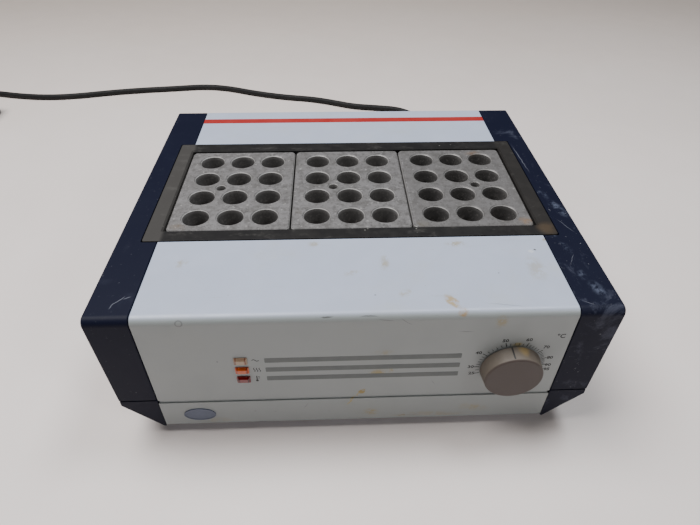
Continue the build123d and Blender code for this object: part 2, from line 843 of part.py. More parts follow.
with BuildPart() as potentiometer:
    with BuildSketch(at_y(front_y + cover_wall)):
        with Locations((knob_x, knob_z)):
            Circle(pot_radius)
    extrude(amount=-pot_depth)
    fillet(potentiometer.edges().group_by(Axis.Y)[-1], edge_soft)
    with BuildSketch(at_y(front_y + cover_wall)):
        with Locations((knob_x, knob_z)):
            Circle(bush_radius)
    extrude(amount=cover_wall + bush_proud)
    with BuildSketch(at_y(front_y - bush_proud)):
        with Locations((knob_x, knob_z)):
            Circle(spindle_radius + spindle_clearance)
    extrude(amount=-(bush_proud + spindle_root - front_y + spindle_clearance), mode=Mode.SUBTRACT)
    with BuildSketch(at_y(front_y + cover_wall + pot_depth / 2)):
        with Locations((knob_x, knob_z - pot_radius)):
            with GridLocations(pot_radius / 3, 1, 3, 1):
                Rectangle(tag_width, 2 * tag_length, align=(Align.CENTER, Align.CENTER))
    extrude(amount=0.4, both=True)
potentiometer.part.label = "potentiometer"
export_step(potentiometer.part, "parts/potentiometer.step")

with BuildPart() as pot_nut:
    with BuildSketch(at_y(front_y)):
        with Locations((knob_x, knob_z)):
            RegularPolygon(nut_across / 2, 6, major_radius=False)
            Circle(bush_radius + spindle_clearance, mode=Mode.SUBTRACT)
    extrude(amount=nut_height)
pot_nut.part.label = "pot_nut"
export_step(pot_nut.part, "parts/pot_nut.step")

# Indicator lamps: a flanged lens in the panel for each, and the lamp bodies behind
for name, z in zip(("power", "heat", "overtemp"), lamp_heights):
    with BuildPart() as lens:
        with BuildSketch(at_y(front_y)):
            with Locations((lamp_x, z)):
                RectangleRounded(lamp_width, lamp_height, lamp_border)
        extrude(amount=lamp_flange)
        with BuildSketch(at_y(front_y + cover_wall)):
            with Locations((lamp_x, z)):
                Rectangle(stem_width, stem_height)
        extrude(amount=cover_wall + lamp_flange + lamp_crown)
        chamfer(lens.faces().sort_by(Axis.Y)[0].edges(), lamp_crown * 0.6)
    lens.part.label = f"lamp_{name}"
    export_step(lens.part, f"parts/lamp_{name}.step")

with BuildPart() as lamp_bodies:
    with BuildSketch(at_y(front_y + cover_wall)):
        with Locations(*[(lamp_x, z) for z in lamp_heights]):
            Rectangle(lamp_width, lamp_height)
    extrude(amount=-lamp_body_depth)
    with BuildSketch(at_y(front_y + cover_wall + lamp_body_depth)):
        with Locations(*[(lamp_x, z) for z in lamp_heights]):
            with GridLocations(lamp_width / 2, 1, 2, 1):
                Rectangle(0.8, 2.8)
    extrude(amount=-lamp_body_depth / 3)
lamp_bodies.part.label = "lamp_bodies"
export_step(lamp_bodies.part, "parts/lamp_bodies.step")

with BuildPart() as badge_plate:
    with BuildSketch(at_y(front_y)):
        with Locations((badge_x, badge_z)):
            Ellipse(badge_length / 2, badge_height / 2)
    extrude(amount=badge_thickness)
    with BuildSketch(at_y(front_y - badge_thickness)):
        with Locations((badge_x, badge_z)):
            Ellipse(badge_length / 2 - badge_border, badge_height / 2 - badge_border)
    extrude(amount=-badge_thickness / 3, mode=Mode.SUBTRACT)
badge_plate.part.label = "badge_plate"
export_step(badge_plate.part, "parts/badge_plate.step")

# Mains switch: a paddle on trunnions in its frame, stored with its lower half pressed in
rocker_open_width = rocker_width + 2 * rocker_clearance
rocker_open_height = 2 * (rocker_arc + rocker_clearance)
rocker_rim_width = rocker_open_width + 2 * rocker_rim
rocker_rim_height = rocker_open_height + 2 * rocker_rim
rocker_pivot_y = rear_y - rocker_pivot_depth
with BuildPart() as rocker_frame:
    with BuildSketch(at_y(rear_y)):
        with Locations((rocker_x, rocker_z)):
            RectangleRounded(rocker_rim_width, rocker_rim_height, rocker_rim / 2)
    extrude(amount=-rocker_rim_proud)
    fillet(rocker_frame.edges().group_by(Axis.Y)[-1], edge_soft)
    with BuildSketch(at_y(rear_y)):
        with Locations((rocker_x, rocker_z)):
            Rectangle(rocker_open_width + rocker_rim, rocker_open_height + rocker_rim)
    extrude(amount=rocker_body_depth)
    with BuildSketch(at_y(rear_y + rocker_rim_proud)):
        with Locations((rocker_x, rocker_z)):
            Rectangle(rocker_open_width, rocker_open_height)
    extrude(amount=rocker_rim_proud + rocker_body_depth - rocker_rim, mode=Mode.SUBTRACT)
    with BuildSketch(at_x(rocker_x)):
        with Locations((rocker_pivot_y, rocker_z)):
            Circle(trunnion_radius + trunnion_clearance)
    extrude(amount=rocker_open_width, both=True, mode=Mode.SUBTRACT)
    with BuildSketch(at_y(rear_y - rocker_body_depth)):
        with Locations((rocker_x, rocker_z)):
            with GridLocations(rocker_width / 2, rocker_arc, 2, 2):
                Rectangle(0.8, 6.3)
    extrude(amount=rocker_body_depth / 2)
rocker_frame.part.label = "rocker_frame"
export_step(rocker_frame.part, "parts/rocker_frame.step")

tilt = math.radians(rocker_tilt)
dish_out = rocker_pivot_depth + rocker_crest
corner_out = dish_out + rocker_arc * math.tan(tilt)
corner_up = math.sqrt(rocker_arc**2 - corner_out**2)
back_out = -rocker_pivot_depth
back_up = math.sqrt(rocker_arc**2 - back_out**2)
rocker_plane = Plane(
    origin=(rocker_x, rocker_pivot_y, rocker_z),
    x_dir=(0, math.cos(tilt), -math.sin(tilt)),
    z_dir=(1, 0, 0),
)
with BuildPart() as rocker:
    with BuildSketch(rocker_plane):
        with BuildLine():
            Line((dish_out, 0), (corner_out, corner_up))
            ThreePointArc((corner_out, corner_up), (0, rocker_arc), (back_out, back_up))
            Line((back_out, back_up), (back_out, -back_up))
            ThreePointArc((back_out, -back_up), (0, -rocker_arc), (corner_out, -corner_up))
            Line((corner_out, -corner_up), (dish_out, 0))
        make_face()
    extrude(amount=rocker_width / 2, both=True)
    fillet(rocker.faces().sort_by(Axis.Y)[-1].edges().sort_by(Axis.Y)[-1], edge_soft)
    with BuildSketch(at_x(rocker_x)):
        with Locations((rocker_pivot_y, rocker_z)):
            Circle(trunnion_radius)
    extrude(amount=rocker_width / 2 + trunnion_length, both=True)
rocker.part.label = "rocker"
export_step(rocker.part, "parts/rocker.step")

# Fuse: panel holder, cap with a screwdriver slot, and the glass link inside
fuse_axis = Axis((fuse_x, rear_y, fuse_z), (0, 1, 0))
fuse_section = turned(fuse_x, rear_y, fuse_z, 1)
link_high = -fuse_cap_plug + fuse_flange - panel_clearance
link_low = link_high - fuse_link_length
with BuildPart() as fuse_holder:
    with BuildSketch(fuse_section):
        with BuildLine():
            Polyline(
                (fuse_bore_radius, fuse_flange),
                (fuse_flange_radius - edge_soft, fuse_flange),
                (fuse_flange_radius, fuse_flange - edge_soft),
                (fuse_flange_radius, 0),
                (fuse_body_radius, 0),
                (fuse_body_radius, -fuse_body_depth),
                (0, -fuse_body_depth),
                (0, link_low),
                (fuse_link_radius + screw_clearance, link_low),
                (fuse_link_radius + screw_clearance, link_high),
                (fuse_bore_radius, link_high),
                close=True,
            )
        make_face()
    revolve(axis=fuse_axis)
fuse_holder.part.label = "fuse_holder"
export_step(fuse_holder.part, "parts/fuse_holder.step")

with BuildPart() as fuse_cap:
    with BuildSketch(fuse_section):
        with BuildLine():
            Polyline(
                (0, fuse_flange - fuse_cap_plug),
                (fuse_bore_radius - fuse_cap_clearance, fuse_flange - fuse_cap_plug),
                (fuse_bore_radius - fuse_cap_clearance, fuse_flange),
                (fuse_cap_radius, fuse_flange),
                (fuse_cap_radius, fuse_flange + fuse_cap_reach - edge_soft),
                (fuse_cap_radius - edge_soft, fuse_flange + fuse_cap_reach),
                (0, fuse_flange + fuse_cap_reach),
                close=True,
            )
        make_face()
    revolve(axis=fuse_axis)
    with BuildSketch(at_y(rear_y + fuse_flange + fuse_cap_reach)):
        with Locations((fuse_x, fuse_z)):
            Rectangle(2 * fuse_cap_radius, fuse_slot_width)
    extrude(amount=fuse_slot_depth, mode=Mode.SUBTRACT)
    with BuildSketch(at_y(rear_y + fuse_flange)):
        with Locations((fuse_x, fuse_z)):
            with PolarLocations(fuse_cap_radius, 12):
                Circle(edge_soft)
    extrude(amount=-fuse_cap_reach, mode=Mode.SUBTRACT)
fuse_cap.part.label = "fuse_cap"
export_step(fuse_cap.part, "parts/fuse_cap.step")

with BuildPart() as fuse_link:
    with BuildSketch(fuse_section):
        with BuildLine():
            Polyline(
                (0, link_low),
                (fuse_link_radius, link_low),
                (fuse_link_radius, link_high - panel_clearance),
                (0, link_high - panel_clearance),
                close=True,
            )
        make_face()
    revolve(axis=fuse_axis)
fuse_link.part.label = "fuse_link"
export_step(fuse_link.part, "parts/fuse_link.step")

# Strain relief of the lead, with the nuts that hold it and the fuse holder to the rear panel
gland_axis = Axis((gland_x, rear_y, gland_z), (0, 1, 0))
boot_tip = gland_flange + gland_boot_length
with BuildPart() as cord_gland:
    with BuildSketch(turned(gland_x, rear_y, gland_z, 1)):
        with BuildLine():
            Polyline(
                (0, -cover_wall - gland_thread_length),
                (gland_thread_radius, -cover_wall - gland_thread_length),
                (gland_thread_radius, 0),
                (gland_flange_radius, 0),
                (gland_flange_radius, gland_flange - edge_soft),
                (gland_flange_radius - edge_soft, gland_flange),
                (gland_boot_base, gland_flange),
                (gland_boot_tip, boot_tip),
                (0, boot_tip),
                close=True,
            )
        make_face()
    revolve(axis=gland_axis)
    ring_pitch = gland_boot_length / (gland_ring_count + 1)
    for ring in range(gland_ring_count):
        with BuildSketch(at_y(rear_y + gland_flange + (ring + 0.7) * ring_pitch)):
            with Locations((gland_x, gland_z)):
                Circle(gland_flange_radius)
                Circle(gland_boot_tip - edge_soft / 2, mode=Mode.SUBTRACT)
                Rectangle(gland_boot_tip, 2 * gland_flange_radius, mode=Mode.SUBTRACT)
        extrude(amount=-ring_pitch / 3, mode=Mode.SUBTRACT)
cord_gland.part.label = "cord_gland"
export_step(cord_gland.part, "parts/cord_gland.step")

with BuildPart() as panel_nuts:
    with BuildSketch(at_y(rear_y - cover_wall)):
        with Locations((gland_x, gland_z)):
            RegularPolygon(gland_nut_across / 2, 6, major_radius=False)
            Circle(gland_thread_radius + screw_clearance, mode=Mode.SUBTRACT)
        with Locations((fuse_x, fuse_z)):
            RegularPolygon(fuse_flange_radius, 6, major_radius=False)
            Circle(fuse_body_radius + screw_clearance, mode=Mode.SUBTRACT)
    extrude(amount=gland_nut_height)
panel_nuts.part.label = "panel_nuts"
export_step(panel_nuts.part, "parts/panel_nuts.step")

# Control board on its pillars, with what stands on it
board_corners = [
    (board_x + sx * (board_length / 2 - board_inset), board_y + sy * (board_depth / 2 - board_inset))
    for sx in (-1, 1)
    for sy in (-1, 1)
]
with BuildPart() as circuit_board:
    with BuildSketch(at_z(board_low)):
        with Locations((board_x, board_y)):
            RectangleRounded(board_length, board_depth, board_inset / 2)
        with Locations(*board_corners):
            Circle(cheek_screw_radius, mode=Mode.SUBTRACT)
    extrude(amount=board_thickness)
circuit_board.part.label = "circuit_board"
export_step(circuit_board.part, "parts/circuit_board.step")

with BuildPart() as board_pillars:
    with BuildSketch(at_z(floor_top)):
        with Locations(*board_corners):
            RegularPolygon(board_pillar_radius, 6)
    extrude(amount=board_height)
    with BuildSketch(at_z(board_low)):
        with Locations(*board_corners):
            Circle(cheek_screw_radius - screw_clearance)
    extrude(amount=2 * board_thickness)
board_pillars.part.label = "board_pillars"
export_step(board_pillars.part, "parts/board_pillars.step")

with BuildPart() as transformer:
    with BuildSketch(at_z(board_top)):
        with Locations((transformer_x, board_y)):
            Rectangle(transformer_length, transformer_depth - 2 * winding_bulge)
    extrude(amount=transformer_height)
    with BuildSketch(at_z(board_top + winding_bulge / 2)):
        with Locations((transformer_x, board_y)):
            RectangleRounded(transformer_length * 0.6, transformer_depth, winding_bulge)
    extrude(amount=transformer_height - winding_bulge)
transformer.part.label = "transformer"
export_step(transformer.part, "parts/transformer.step")

with BuildPart() as relay:
    with BuildSketch(at_z(board_top)):
        with Locations((relay_x, board_y)):
            Rectangle(relay_size[1], relay_size[0])
    extrude(amount=relay_size[2])
    fillet(relay.edges().group_by(Axis.Z)[-1], edge_soft)
relay.part.label = "relay"
export_step(relay.part, "parts/relay.step")

with BuildPart() as capacitors:
    with BuildSketch(at_z(board_top)):
        with Locations((capacitor_x, board_y)):
            with GridLocations(1, capacitor_pitch, 1, capacitor_count):
                Circle(capacitor_radius)
    extrude(amount=capacitor_height)
    chamfer(capacitors.edges().group_by(Axis.Z)[-1], edge_soft)
capacitors.part.label = "capacitors"
export_step(capacitors.part, "parts/capacitors.step")

with BuildPart() as control_chip:
    with BuildSketch(at_z(board_top)):
        with Locations((capacitor_x + 2.6 * capacitor_radius, board_y)):
            Rectangle(chip_width, chip_length)
    extrude(amount=chip_height)
    chamfer(control_chip.edges().group_by(Axis.Z)[-1], edge_soft)
control_chip.part.label = "control_chip"
export_step(control_chip.part, "parts/control_chip.step")

with BuildPart() as board_connector:
    with BuildSketch(at_z(board_top)):
        with Locations((board_x - board_length / 2 + board_inset, board_y)):
            Rectangle(board_inset, connector_length)
    extrude(amount=connector_height)
board_connector.part.label = "board_connector"
export_step(board_connector.part, "parts/board_connector.step")

# Switching device on its finned heat sink, terminals and protective earth at the rear
with BuildPart() as heat_sink:
    with BuildSketch(at_z(floor_top)):
        with Locations((sink_x, sink_y)):
            Rectangle(sink_length, sink_depth)
    extrude(amount=sink_base)
    with BuildSketch(at_z(floor_top + sink_base)):
        with Locations((sink_x, sink_y - triac_thickness)):
            with GridLocations(sink_length / sink_fin_count, 1, sink_fin_count, 1):
                Rectangle(sink_fin_thickness, sink_depth - 2 * triac_thickness)
    extrude(amount=sink_fin_height)
    with BuildSketch(at_z(floor_top + sink_base)):
        with Locations((sink_x, sink_y + sink_depth / 2 - 2 * triac_thickness + sink_fin_thickness / 2)):
            Rectangle(sink_length, sink_fin_thickness)
    extrude(amount=sink_fin_height)
heat_sink.part.label = "heat_sink"
export_step(heat_sink.part, "parts/heat_sink.step")

with BuildPart() as triac:
    triac_y = sink_y + sink_depth / 2 - 2 * triac_thickness + sink_fin_thickness
    with BuildSketch(at_y(triac_y)):
        with Locations((sink_x, floor_top + sink_base + triac_length / 2)):
            Rectangle(triac_width, triac_length)
            with Locations((0, triac_length / 2 - cheek_screw_radius * 1.6)):
                Circle(cheek_screw_radius, mode=Mode.SUBTRACT)
    extrude(amount=-sink_fin_thickness)
    with BuildSketch(at_y(triac_y)):
        with Locations((sink_x, floor_top + sink_base + triac_length * 0.3)):
            Rectangle(triac_width, triac_length * 0.6)
    extrude(amount=-triac_thickness)
triac.part.label = "triac"
export_step(triac.part, "parts/triac.step")

with BuildPart() as terminal_block:
    with BuildSketch(at_z(floor_top)):
        with Locations((terminal_x, terminal_y)):
            Rectangle(terminal_count * terminal_pitch, terminal_depth)
    extrude(amount=terminal_height)
    chamfer(terminal_block.edges().filter_by(Axis.X).group_by(Axis.Z)[-1], terminal_height / 4)
    with BuildSketch(at_z(floor_top + terminal_height)):
        with Locations((terminal_x, terminal_y)):
            with GridLocations(terminal_pitch, terminal_depth / 2.4, terminal_count, 2):
                Circle(foot_screw_radius)
    extrude(amount=-terminal_height / 2, mode=Mode.SUBTRACT)
terminal_block.part.label = "terminal_block"
export_step(terminal_block.part, "parts/terminal_block.step")

earth_y = rear_y - earth_from_rear
with BuildPart() as earth_stud:
    with BuildSketch(at_z(floor_top)):
        with Locations((earth_x, earth_y)):
            Circle(earth_radius)
    extrude(amount=earth_height)
earth_stud.part.label = "earth_stud"
export_step(earth_stud.part, "parts/earth_stud.step")

with BuildPart() as earth_nuts:
    for level in (0, 2):
        with BuildSketch(at_z(floor_top + level * pan_head_height)):
            with Locations((earth_x, earth_y)):
                RegularPolygon(earth_radius * 1.75, 6, major_radius=False, rotation=level * 11)
                Circle(earth_radius + screw_clearance, mode=Mode.SUBTRACT)
        extrude(amount=pan_head_height * 1.4)
earth_nuts.part.label = "earth_nuts"
export_step(earth_nuts.part, "parts/earth_nuts.step")

# Rubber feet and all the screws that go in from below and from inside
with BuildPart() as rubber_feet:
    for x, y in feet:
        with BuildSketch(upright(x, y)):
            with BuildLine():
                Polyline(
                    (foot_recess_radius, 0),
                    (foot_radius - foot_taper, 0),
                    (foot_radius, foot_height),
                    (foot_screw_radius + screw_clearance, foot_height),
                    (foot_screw_radius + screw_clearance, foot_recess),
                    (foot_recess_radius, foot_recess),
                    close=True,
                )
            make_face()
        revolve(axis=Axis((x, y, 0), (0, 0, 1)))
rubber_feet.part.label = "rubber_feet"
export_step(rubber_feet.part, "parts/rubber_feet.step")

with BuildPart() as foot_screws:
    for x, y in feet:
        with BuildSketch(upright(x, y, foot_recess)):
            with BuildLine():
                Polyline(*screw_profile(foot_screw_radius, foot_screw_length, pan_head_height), close=True)
            make_face()
        revolve(axis=Axis((x, y, 0), (0, 0, 1)))
foot_screws.part.label = "foot_screws"
export_step(foot_screws.part, "parts/foot_screws.step")

with BuildPart() as pillar_screws:
    for x, y in pillars:
        with BuildSketch(upright(x, y, foot_height)):
            with BuildLine():
                Polyline(*screw_profile(foot_screw_radius, foot_screw_length, pan_head_height), close=True)
            make_face()
        revolve(axis=Axis((x, y, 0), (0, 0, 1)))
pillar_screws.part.label = "pillar_screws"
export_step(pillar_screws.part, "parts/pillar_screws.step")

with BuildPart() as cover_screws:
    cover_screw_length = post_split + post_screw_bite - post_shelf
    for x, y in posts:
        with BuildSketch(upright(x, y, post_shelf)):
            with BuildLine():
                Polyline(*screw_profile(post_screw_radius, cover_screw_length, pan_head_height), close=True)
            make_face()
        revolve(axis=Axis((x, y, 0), (0, 0, 1)))
cover_screws.part.label = "cover_screws"
export_step(cover_screws.part, "parts/cover_screws.step")

cover_seat = cover_end_x - cover_wall
base_seat = half_housing - base_wall
cover_reach = cover_wall + shadow_gap + cheek_screw_bite - screw_clearance
base_reach = base_wall + shadow_gap + base_cheek_wall + cheek_screw_bite
with BuildPart() as cheek_screws:
    for side in (-1, 1):
        for y in cheek_screw_ys:
            for seat, z, reach in (
                (cover_seat, cheek_screw_z, cover_reach),
                (base_seat, base_cheek_screw_z, base_reach),
            ):
                with BuildSketch(Plane(origin=(side * seat, y, z), x_dir=(0, 1, 0), z_dir=(0, 0, -side))):
                    with BuildLine():
                        Polyline(*screw_profile(cheek_screw_radius, reach, pan_head_height), close=True)
                    make_face()
                revolve(axis=Axis((side * seat, y, z), (side, 0, 0)))
cheek_screws.part.label = "cheek_screws"
export_step(cheek_screws.part, "parts/cheek_screws.step")

# Mains lead: straight runs and tangent arcs along its points
legs = [Vector(*b) - Vector(*a) for a, b in zip(cord_points, cord_points[1:])]
cord_radii = []
for before, after in zip(legs, legs[1:]):
    half_turn = math.radians(before.get_angle(after)) / 2
    cord_radii.append(0.45 * min(before.length, after.length) / math.tan(half_turn))
print("lead: tightest arc", round(min(cord_radii), 1), "of", [round(r) for r in cord_radii])
with BuildPart() as mains_cord:
    with BuildLine() as lead_path:
        FilletPolyline(*cord_points, radius=cord_radii)
    with BuildSketch(Plane(origin=cord_points[0], z_dir=legs[0])):
        Circle(cord_radius)
    sweep()
mains_cord.part.label = "mains_cord"
export_step(mains_cord.part, "parts/mains_cord.step")
lead_length = lead_path.wire().length
lead_volume = math.pi * cord_radius**2 * lead_length
print("lead: length", round(lead_length), "volume ratio", round(mains_cord.part.volume / lead_volume, 4))

with BuildPart() as cord_coil:
    coil_half = coil_columns * cord_radius
    with BuildSketch(upright(coil_x, coil_y)):
        with Locations((coil_mid_radius, coil_layers * cord_radius)):
            Rectangle(2 * coil_half, 2 * coil_layers * cord_radius)
            chamfer(vertices(), coil_soft)
    revolve(axis=Axis((coil_x, coil_y, 0), (0, 0, 1)))
cord_coil.part.label = "cord_coil"
export_step(cord_coil.part, "parts/cord_coil.step")

# Three-pin plug, lying on its back beside the coil
plug_y = coil_y - coil_mid_radius
plug_left = plug_x - plug_length / 2
with BuildPart() as plug_body:
    with BuildSketch(at_z(0)):
        with BuildLine():
            Polyline(
                (plug_left, plug_y - plug_waist / 2),
                (plug_left + plug_length * 0.45, plug_y - plug_width / 2),
                (plug_left + plug_length, plug_y - plug_width / 2),
                (plug_left + plug_length, plug_y + plug_width / 2),
                (plug_left + plug_length * 0.45, plug_y + plug_width / 2),
                (plug_left, plug_y + plug_waist / 2),
                close=True,
            )
        make_face()
        fillet(vertices().group_by(Axis.X)[-1], plug_corner)
        fillet(vertices().group_by(Axis.X)[0], plug_corner / 3)
    extrude(amount=plug_thickness)
    fillet(plug_body.edges().group_by(Axis.Z)[0], edge_soft * 3)
    fillet(plug_body.edges().group_by(Axis.Z)[-1], edge_soft)
    with BuildSketch(Plane(origin=(plug_left, plug_y, plug_neck_z), x_dir=(0, 1, 0), z_dir=(0, 0, 1))):
        with BuildLine():
            Polyline(
                (0, -edge_radius),
                (plug_neck_base, -edge_radius),
                (plug_neck_base, edge_soft),
                (plug_neck_tip, plug_neck_reach),
                (0, plug_neck_reach),
                close=True,
            )
        make_face()
    revolve(axis=Axis((plug_left, plug_y, plug_neck_z), (-1, 0, 0)))
plug_body.part.label = "plug_body"
export_step(plug_body.part, "parts/plug_body.step")

with BuildPart() as plug_pins:
    pin_x = plug_x - live_pin_pitch / 6
    with BuildSketch(at_z(plug_thickness)):
        with Locations((pin_x, plug_y)):
            with GridLocations(1, live_pin_pitch, 1, 2):
                Rectangle(pin_thickness, live_pin_width)
    extrude(amount=live_pin_length)
    with BuildSketch(at_z(plug_thickness)):
        with Locations((pin_x + earth_pin_offset, plug_y)):
            Rectangle(earth_pin_width, pin_thickness)
    extrude(amount=earth_pin_length)
    chamfer(plug_pins.edges().group_by(Axis.Z)[-1], edge_soft)
plug_pins.part.label = "plug_pins"
export_step(plug_pins.part, "parts/plug_pins.step")
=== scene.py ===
"""Dry bath incubator: finishes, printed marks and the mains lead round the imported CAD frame.

Metres, in the CAD frame: +X to the right, the front faces -Y, +Z up and the table at z = 0.
"""
import math

import bmesh
import bpy
from mathutils import Matrix, Vector


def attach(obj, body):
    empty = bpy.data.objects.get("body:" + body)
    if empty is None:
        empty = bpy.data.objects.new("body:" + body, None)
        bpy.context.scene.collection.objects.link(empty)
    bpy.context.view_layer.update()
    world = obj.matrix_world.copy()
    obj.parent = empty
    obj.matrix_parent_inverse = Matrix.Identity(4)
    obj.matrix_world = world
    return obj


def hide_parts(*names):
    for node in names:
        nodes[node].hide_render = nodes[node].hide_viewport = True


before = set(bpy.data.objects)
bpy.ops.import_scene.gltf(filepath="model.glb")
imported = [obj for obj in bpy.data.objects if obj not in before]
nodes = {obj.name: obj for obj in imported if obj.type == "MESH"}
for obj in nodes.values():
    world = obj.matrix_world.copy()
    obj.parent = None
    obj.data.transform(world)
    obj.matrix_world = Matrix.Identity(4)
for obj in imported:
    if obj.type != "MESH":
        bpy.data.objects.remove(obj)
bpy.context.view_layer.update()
MM = 0.001
FRONT_Y = -0.124
TOP_Z = 0.101

# Camera of the photograph
LENS = 27.06
SENSOR = 36.0
CAMERA_PLACE = (-0.012288, -0.310622, 0.296764)
CAMERA_RIGHT = (0.99928716, -0.03715349, 0.00669226)
CAMERA_DOWN = (-0.01904281, -0.64914978, -0.76042220)
CAMERA_FORWARD = (0.03259661, 0.75975271, -0.64939455)

# Mains lead: the route's points in millimetres, then the put-away turns
CORD_RADIUS = 0.0035
CORD_ROUTE = [
    (85, 154, 48), (85, 177, 48), (86, 205, 37.5), (89, 235, 20.5), (94, 263, 7), (99, 287, 3.5),
    (98, 315, 3.5), (79, 337, 3.5), (50, 343.5, 3.5), (19, 348.5, 3.5), (-8, 361.5, 3.5),
    (-36, 373, 3.5), (-75, 380.5, 3.5), (-116, 394.5, 3.5), (-152, 411.5, 3.5), (-186, 418.5, 3.5),
    (-228, 412.5, 3.5), (-270, 408, 3.5), (-312, 400.5, 3.5), (-352, 390, 3.5), (-390, 386, 3.5),
    (-430, 391.5, 3.5), (-468, 402, 3.5), (-503, 409.5, 3.5),
]
COIL_CENTRE = (-535.0, 366.0)
COIL_OUTER = 45.5
COIL_INNER = 31.3
COIL_PITCH = 7.1
COIL_TURNS = 4.5
COIL_STEPS = 16
PLUG_END = [(-521, 325.6, 11.2), (-506, 327.5, 12), (-497, 327.5, 12)]

# Bench and printed marks, in metres
BENCH_HALF_WIDTH = 14.0
INK = 0.00006
BARS_X = (-0.051, 0.0585)
BARS_Z = (0.0675, 0.0595, 0.0517)
BAR_HALF_HEIGHT = 0.0019
STRIPE_HALF_WIDTH = 0.1167
STRIPE_Y = (0.0984, 0.1060)


def ink(red, green, blue):
    """Linear colour of 8-bit display values."""
    channels = []
    for value in (red, green, blue):
        share = value / 255
        channels.append(share / 12.92 if share <= 0.04045 else ((share + 0.055) / 1.055) ** 2.4)
    return (*channels, 1.0)


class Finish:
    """A node material in the frame's own coordinates. Its helpers return sockets."""

    def __init__(self, name, color, roughness=0.5, metallic=0.0, **sockets):
        self.material = bpy.data.materials.new(name)
        self.material.use_nodes = True
        self.tree = self.material.node_tree
        self.shader = self.tree.nodes["Principled BSDF"]
        self.place = self.add("ShaderNodeTexCoord").outputs["Object"]
        self.color, self.roughness, self.bumps = color, roughness, None
        self.set("Base Color", color)
        self.set("Roughness", roughness)
        self.set("Metallic", metallic)
        for socket, value in sockets.items():
            self.set(socket.replace("_", " "), value)

    def add(self, kind, inputs=None, **settings):
        node = self.tree.nodes.new(kind)
        for key, value in settings.items():
            setattr(node, key, value)
        for key, value in (inputs or {}).items():
            self.put(node.inputs[key], value)
        return node

    def put(self, socket, value):
        if isinstance(value, bpy.types.NodeSocket):
            self.tree.links.new(value, socket)
        else:
            socket.default_value = value

    def set(self, socket, value):
        self.put(self.shader.inputs[socket], value)

    def noise(self, scale, detail=3.0, rough=0.55, stretch=(1, 1, 1), distortion=0.0):
        place = self.add("ShaderNodeMapping", {"Vector": self.place, "Scale": stretch}).outputs[0]
        made = self.add("ShaderNodeTexNoise", {
            "Vector": place, "Scale": scale, "Detail": detail, "Roughness": rough, "Distortion": distortion})
        return made.outputs[0]

    def cells(self, scale):
        return self.add("ShaderNodeTexVoronoi", {"Vector": self.place, "Scale": scale}).outputs["Distance"]

    def span(self, value, low, high, to_low=0.0, to_high=1.0):
        made = self.add("ShaderNodeMapRange", {0: value, 1: low, 2: high, 3: to_low, 4: to_high},
                        interpolation_type="SMOOTHSTEP")
        return made.outputs[0]

    def times(self, first, second):
        return self.add("ShaderNodeMath", {0: first, 1: second}, operation="MULTIPLY").outputs[0]

    def minus(self, first, second):
        return self.add("ShaderNodeMath", {0: first, 1: second}, operation="SUBTRACT").outputs[0]

    def vector(self, operation, inputs):
        return self.add("ShaderNodeVectorMath", inputs, operation=operation).outputs[0]

    def axis(self, index):
        return self.add("ShaderNodeSeparateXYZ", {0: self.place}).outputs[index]

    def spot(self, centre, radii, turn=(0, 0, 0), edge=0.5, wobble=0.0, wobble_scale=120.0):
        """1 inside an ellipsoid given in millimetres and 0 outside, with an uneven edge."""
        place = self.place
        if wobble:
            noise = self.add("ShaderNodeTexNoise", {"Vector": place, "Scale": wobble_scale, "Detail": 3.0})
            drift = self.vector("SUBTRACT", {0: noise.outputs[1], 1: (0.5, 0.5, 0.5)})
            drift = self.vector("SCALE", {0: drift, "Scale": wobble * MM})
            place = self.vector("ADD", {0: place, 1: drift})
        local = self.add("ShaderNodeMapping", {
            "Vector": place, "Location": [c * MM for c in centre],
            "Rotation": [math.radians(a) for a in turn],
            "Scale": [r * MM for r in radii]}, vector_type="TEXTURE").outputs[0]
        reach = self.add("ShaderNodeVectorMath", {0: local}, operation="LENGTH").outputs["Value"]
        return self.span(reach, 1.0, 1.0 - edge)

    def tint(self, share, color):
        made = self.add("ShaderNodeMix", {0: share, 6: self.color, 7: color}, data_type="RGBA")
        self.color = made.outputs[2]
        self.set("Base Color", self.color)

    def rough(self, share, value):
        made = self.add("ShaderNodeMix", {0: share, 2: self.roughness, 3: value}, data_type="FLOAT")
        self.roughness = made.outputs[0]
        self.set("Roughness", self.roughness)

    def bump(self, height, distance, strength=1.0):
        """Adds relief whose full height is distance, in millimetres."""
        node = self.add("ShaderNodeBump", {"Height": height, "Strength": strength, "Distance": distance * MM})
        if self.bumps:
            self.put(node.inputs["Normal"], self.bumps)
        self.bumps = node.outputs[0]
        self.set("Normal", self.bumps)


def grained(name, color, roughness, fleck, share=0.5, scale=900.0, relief=0.02, metallic=0.0, **sockets):
    """A moulded or cast finish: fine grain, soft colour drift and uneven gloss."""
    made = Finish(name, color, roughness, metallic, **sockets)
    drift = made.noise(45.0, 4.0, 0.6)
    made.tint(made.span(drift, 0.42, 0.66, 0.0, share), fleck)
    grain = made.noise(scale, 2.0, 0.5)
    made.rough(made.span(grain, 0.35, 0.65, 0.0, 0.8), min(1.0, roughness + 0.14))
    made.bump(grain, relief)
    return made


# Camera and stage
def make_camera():
    data = bpy.data.cameras.new("camera")
    data.lens, data.sensor_width = LENS, SENSOR
    data.clip_start, data.clip_end = 0.01, 60
    camera = bpy.data.objects.new("camera", data)
    bpy.context.collection.objects.link(camera)
    right, down, forward = Vector(CAMERA_RIGHT), Vector(CAMERA_DOWN), Vector(CAMERA_FORWARD)
    turn = Matrix((right, -down, -forward)).transposed().to_4x4()
    camera.matrix_world = Matrix.Translation(CAMERA_PLACE) @ turn
    bpy.context.scene.camera = camera


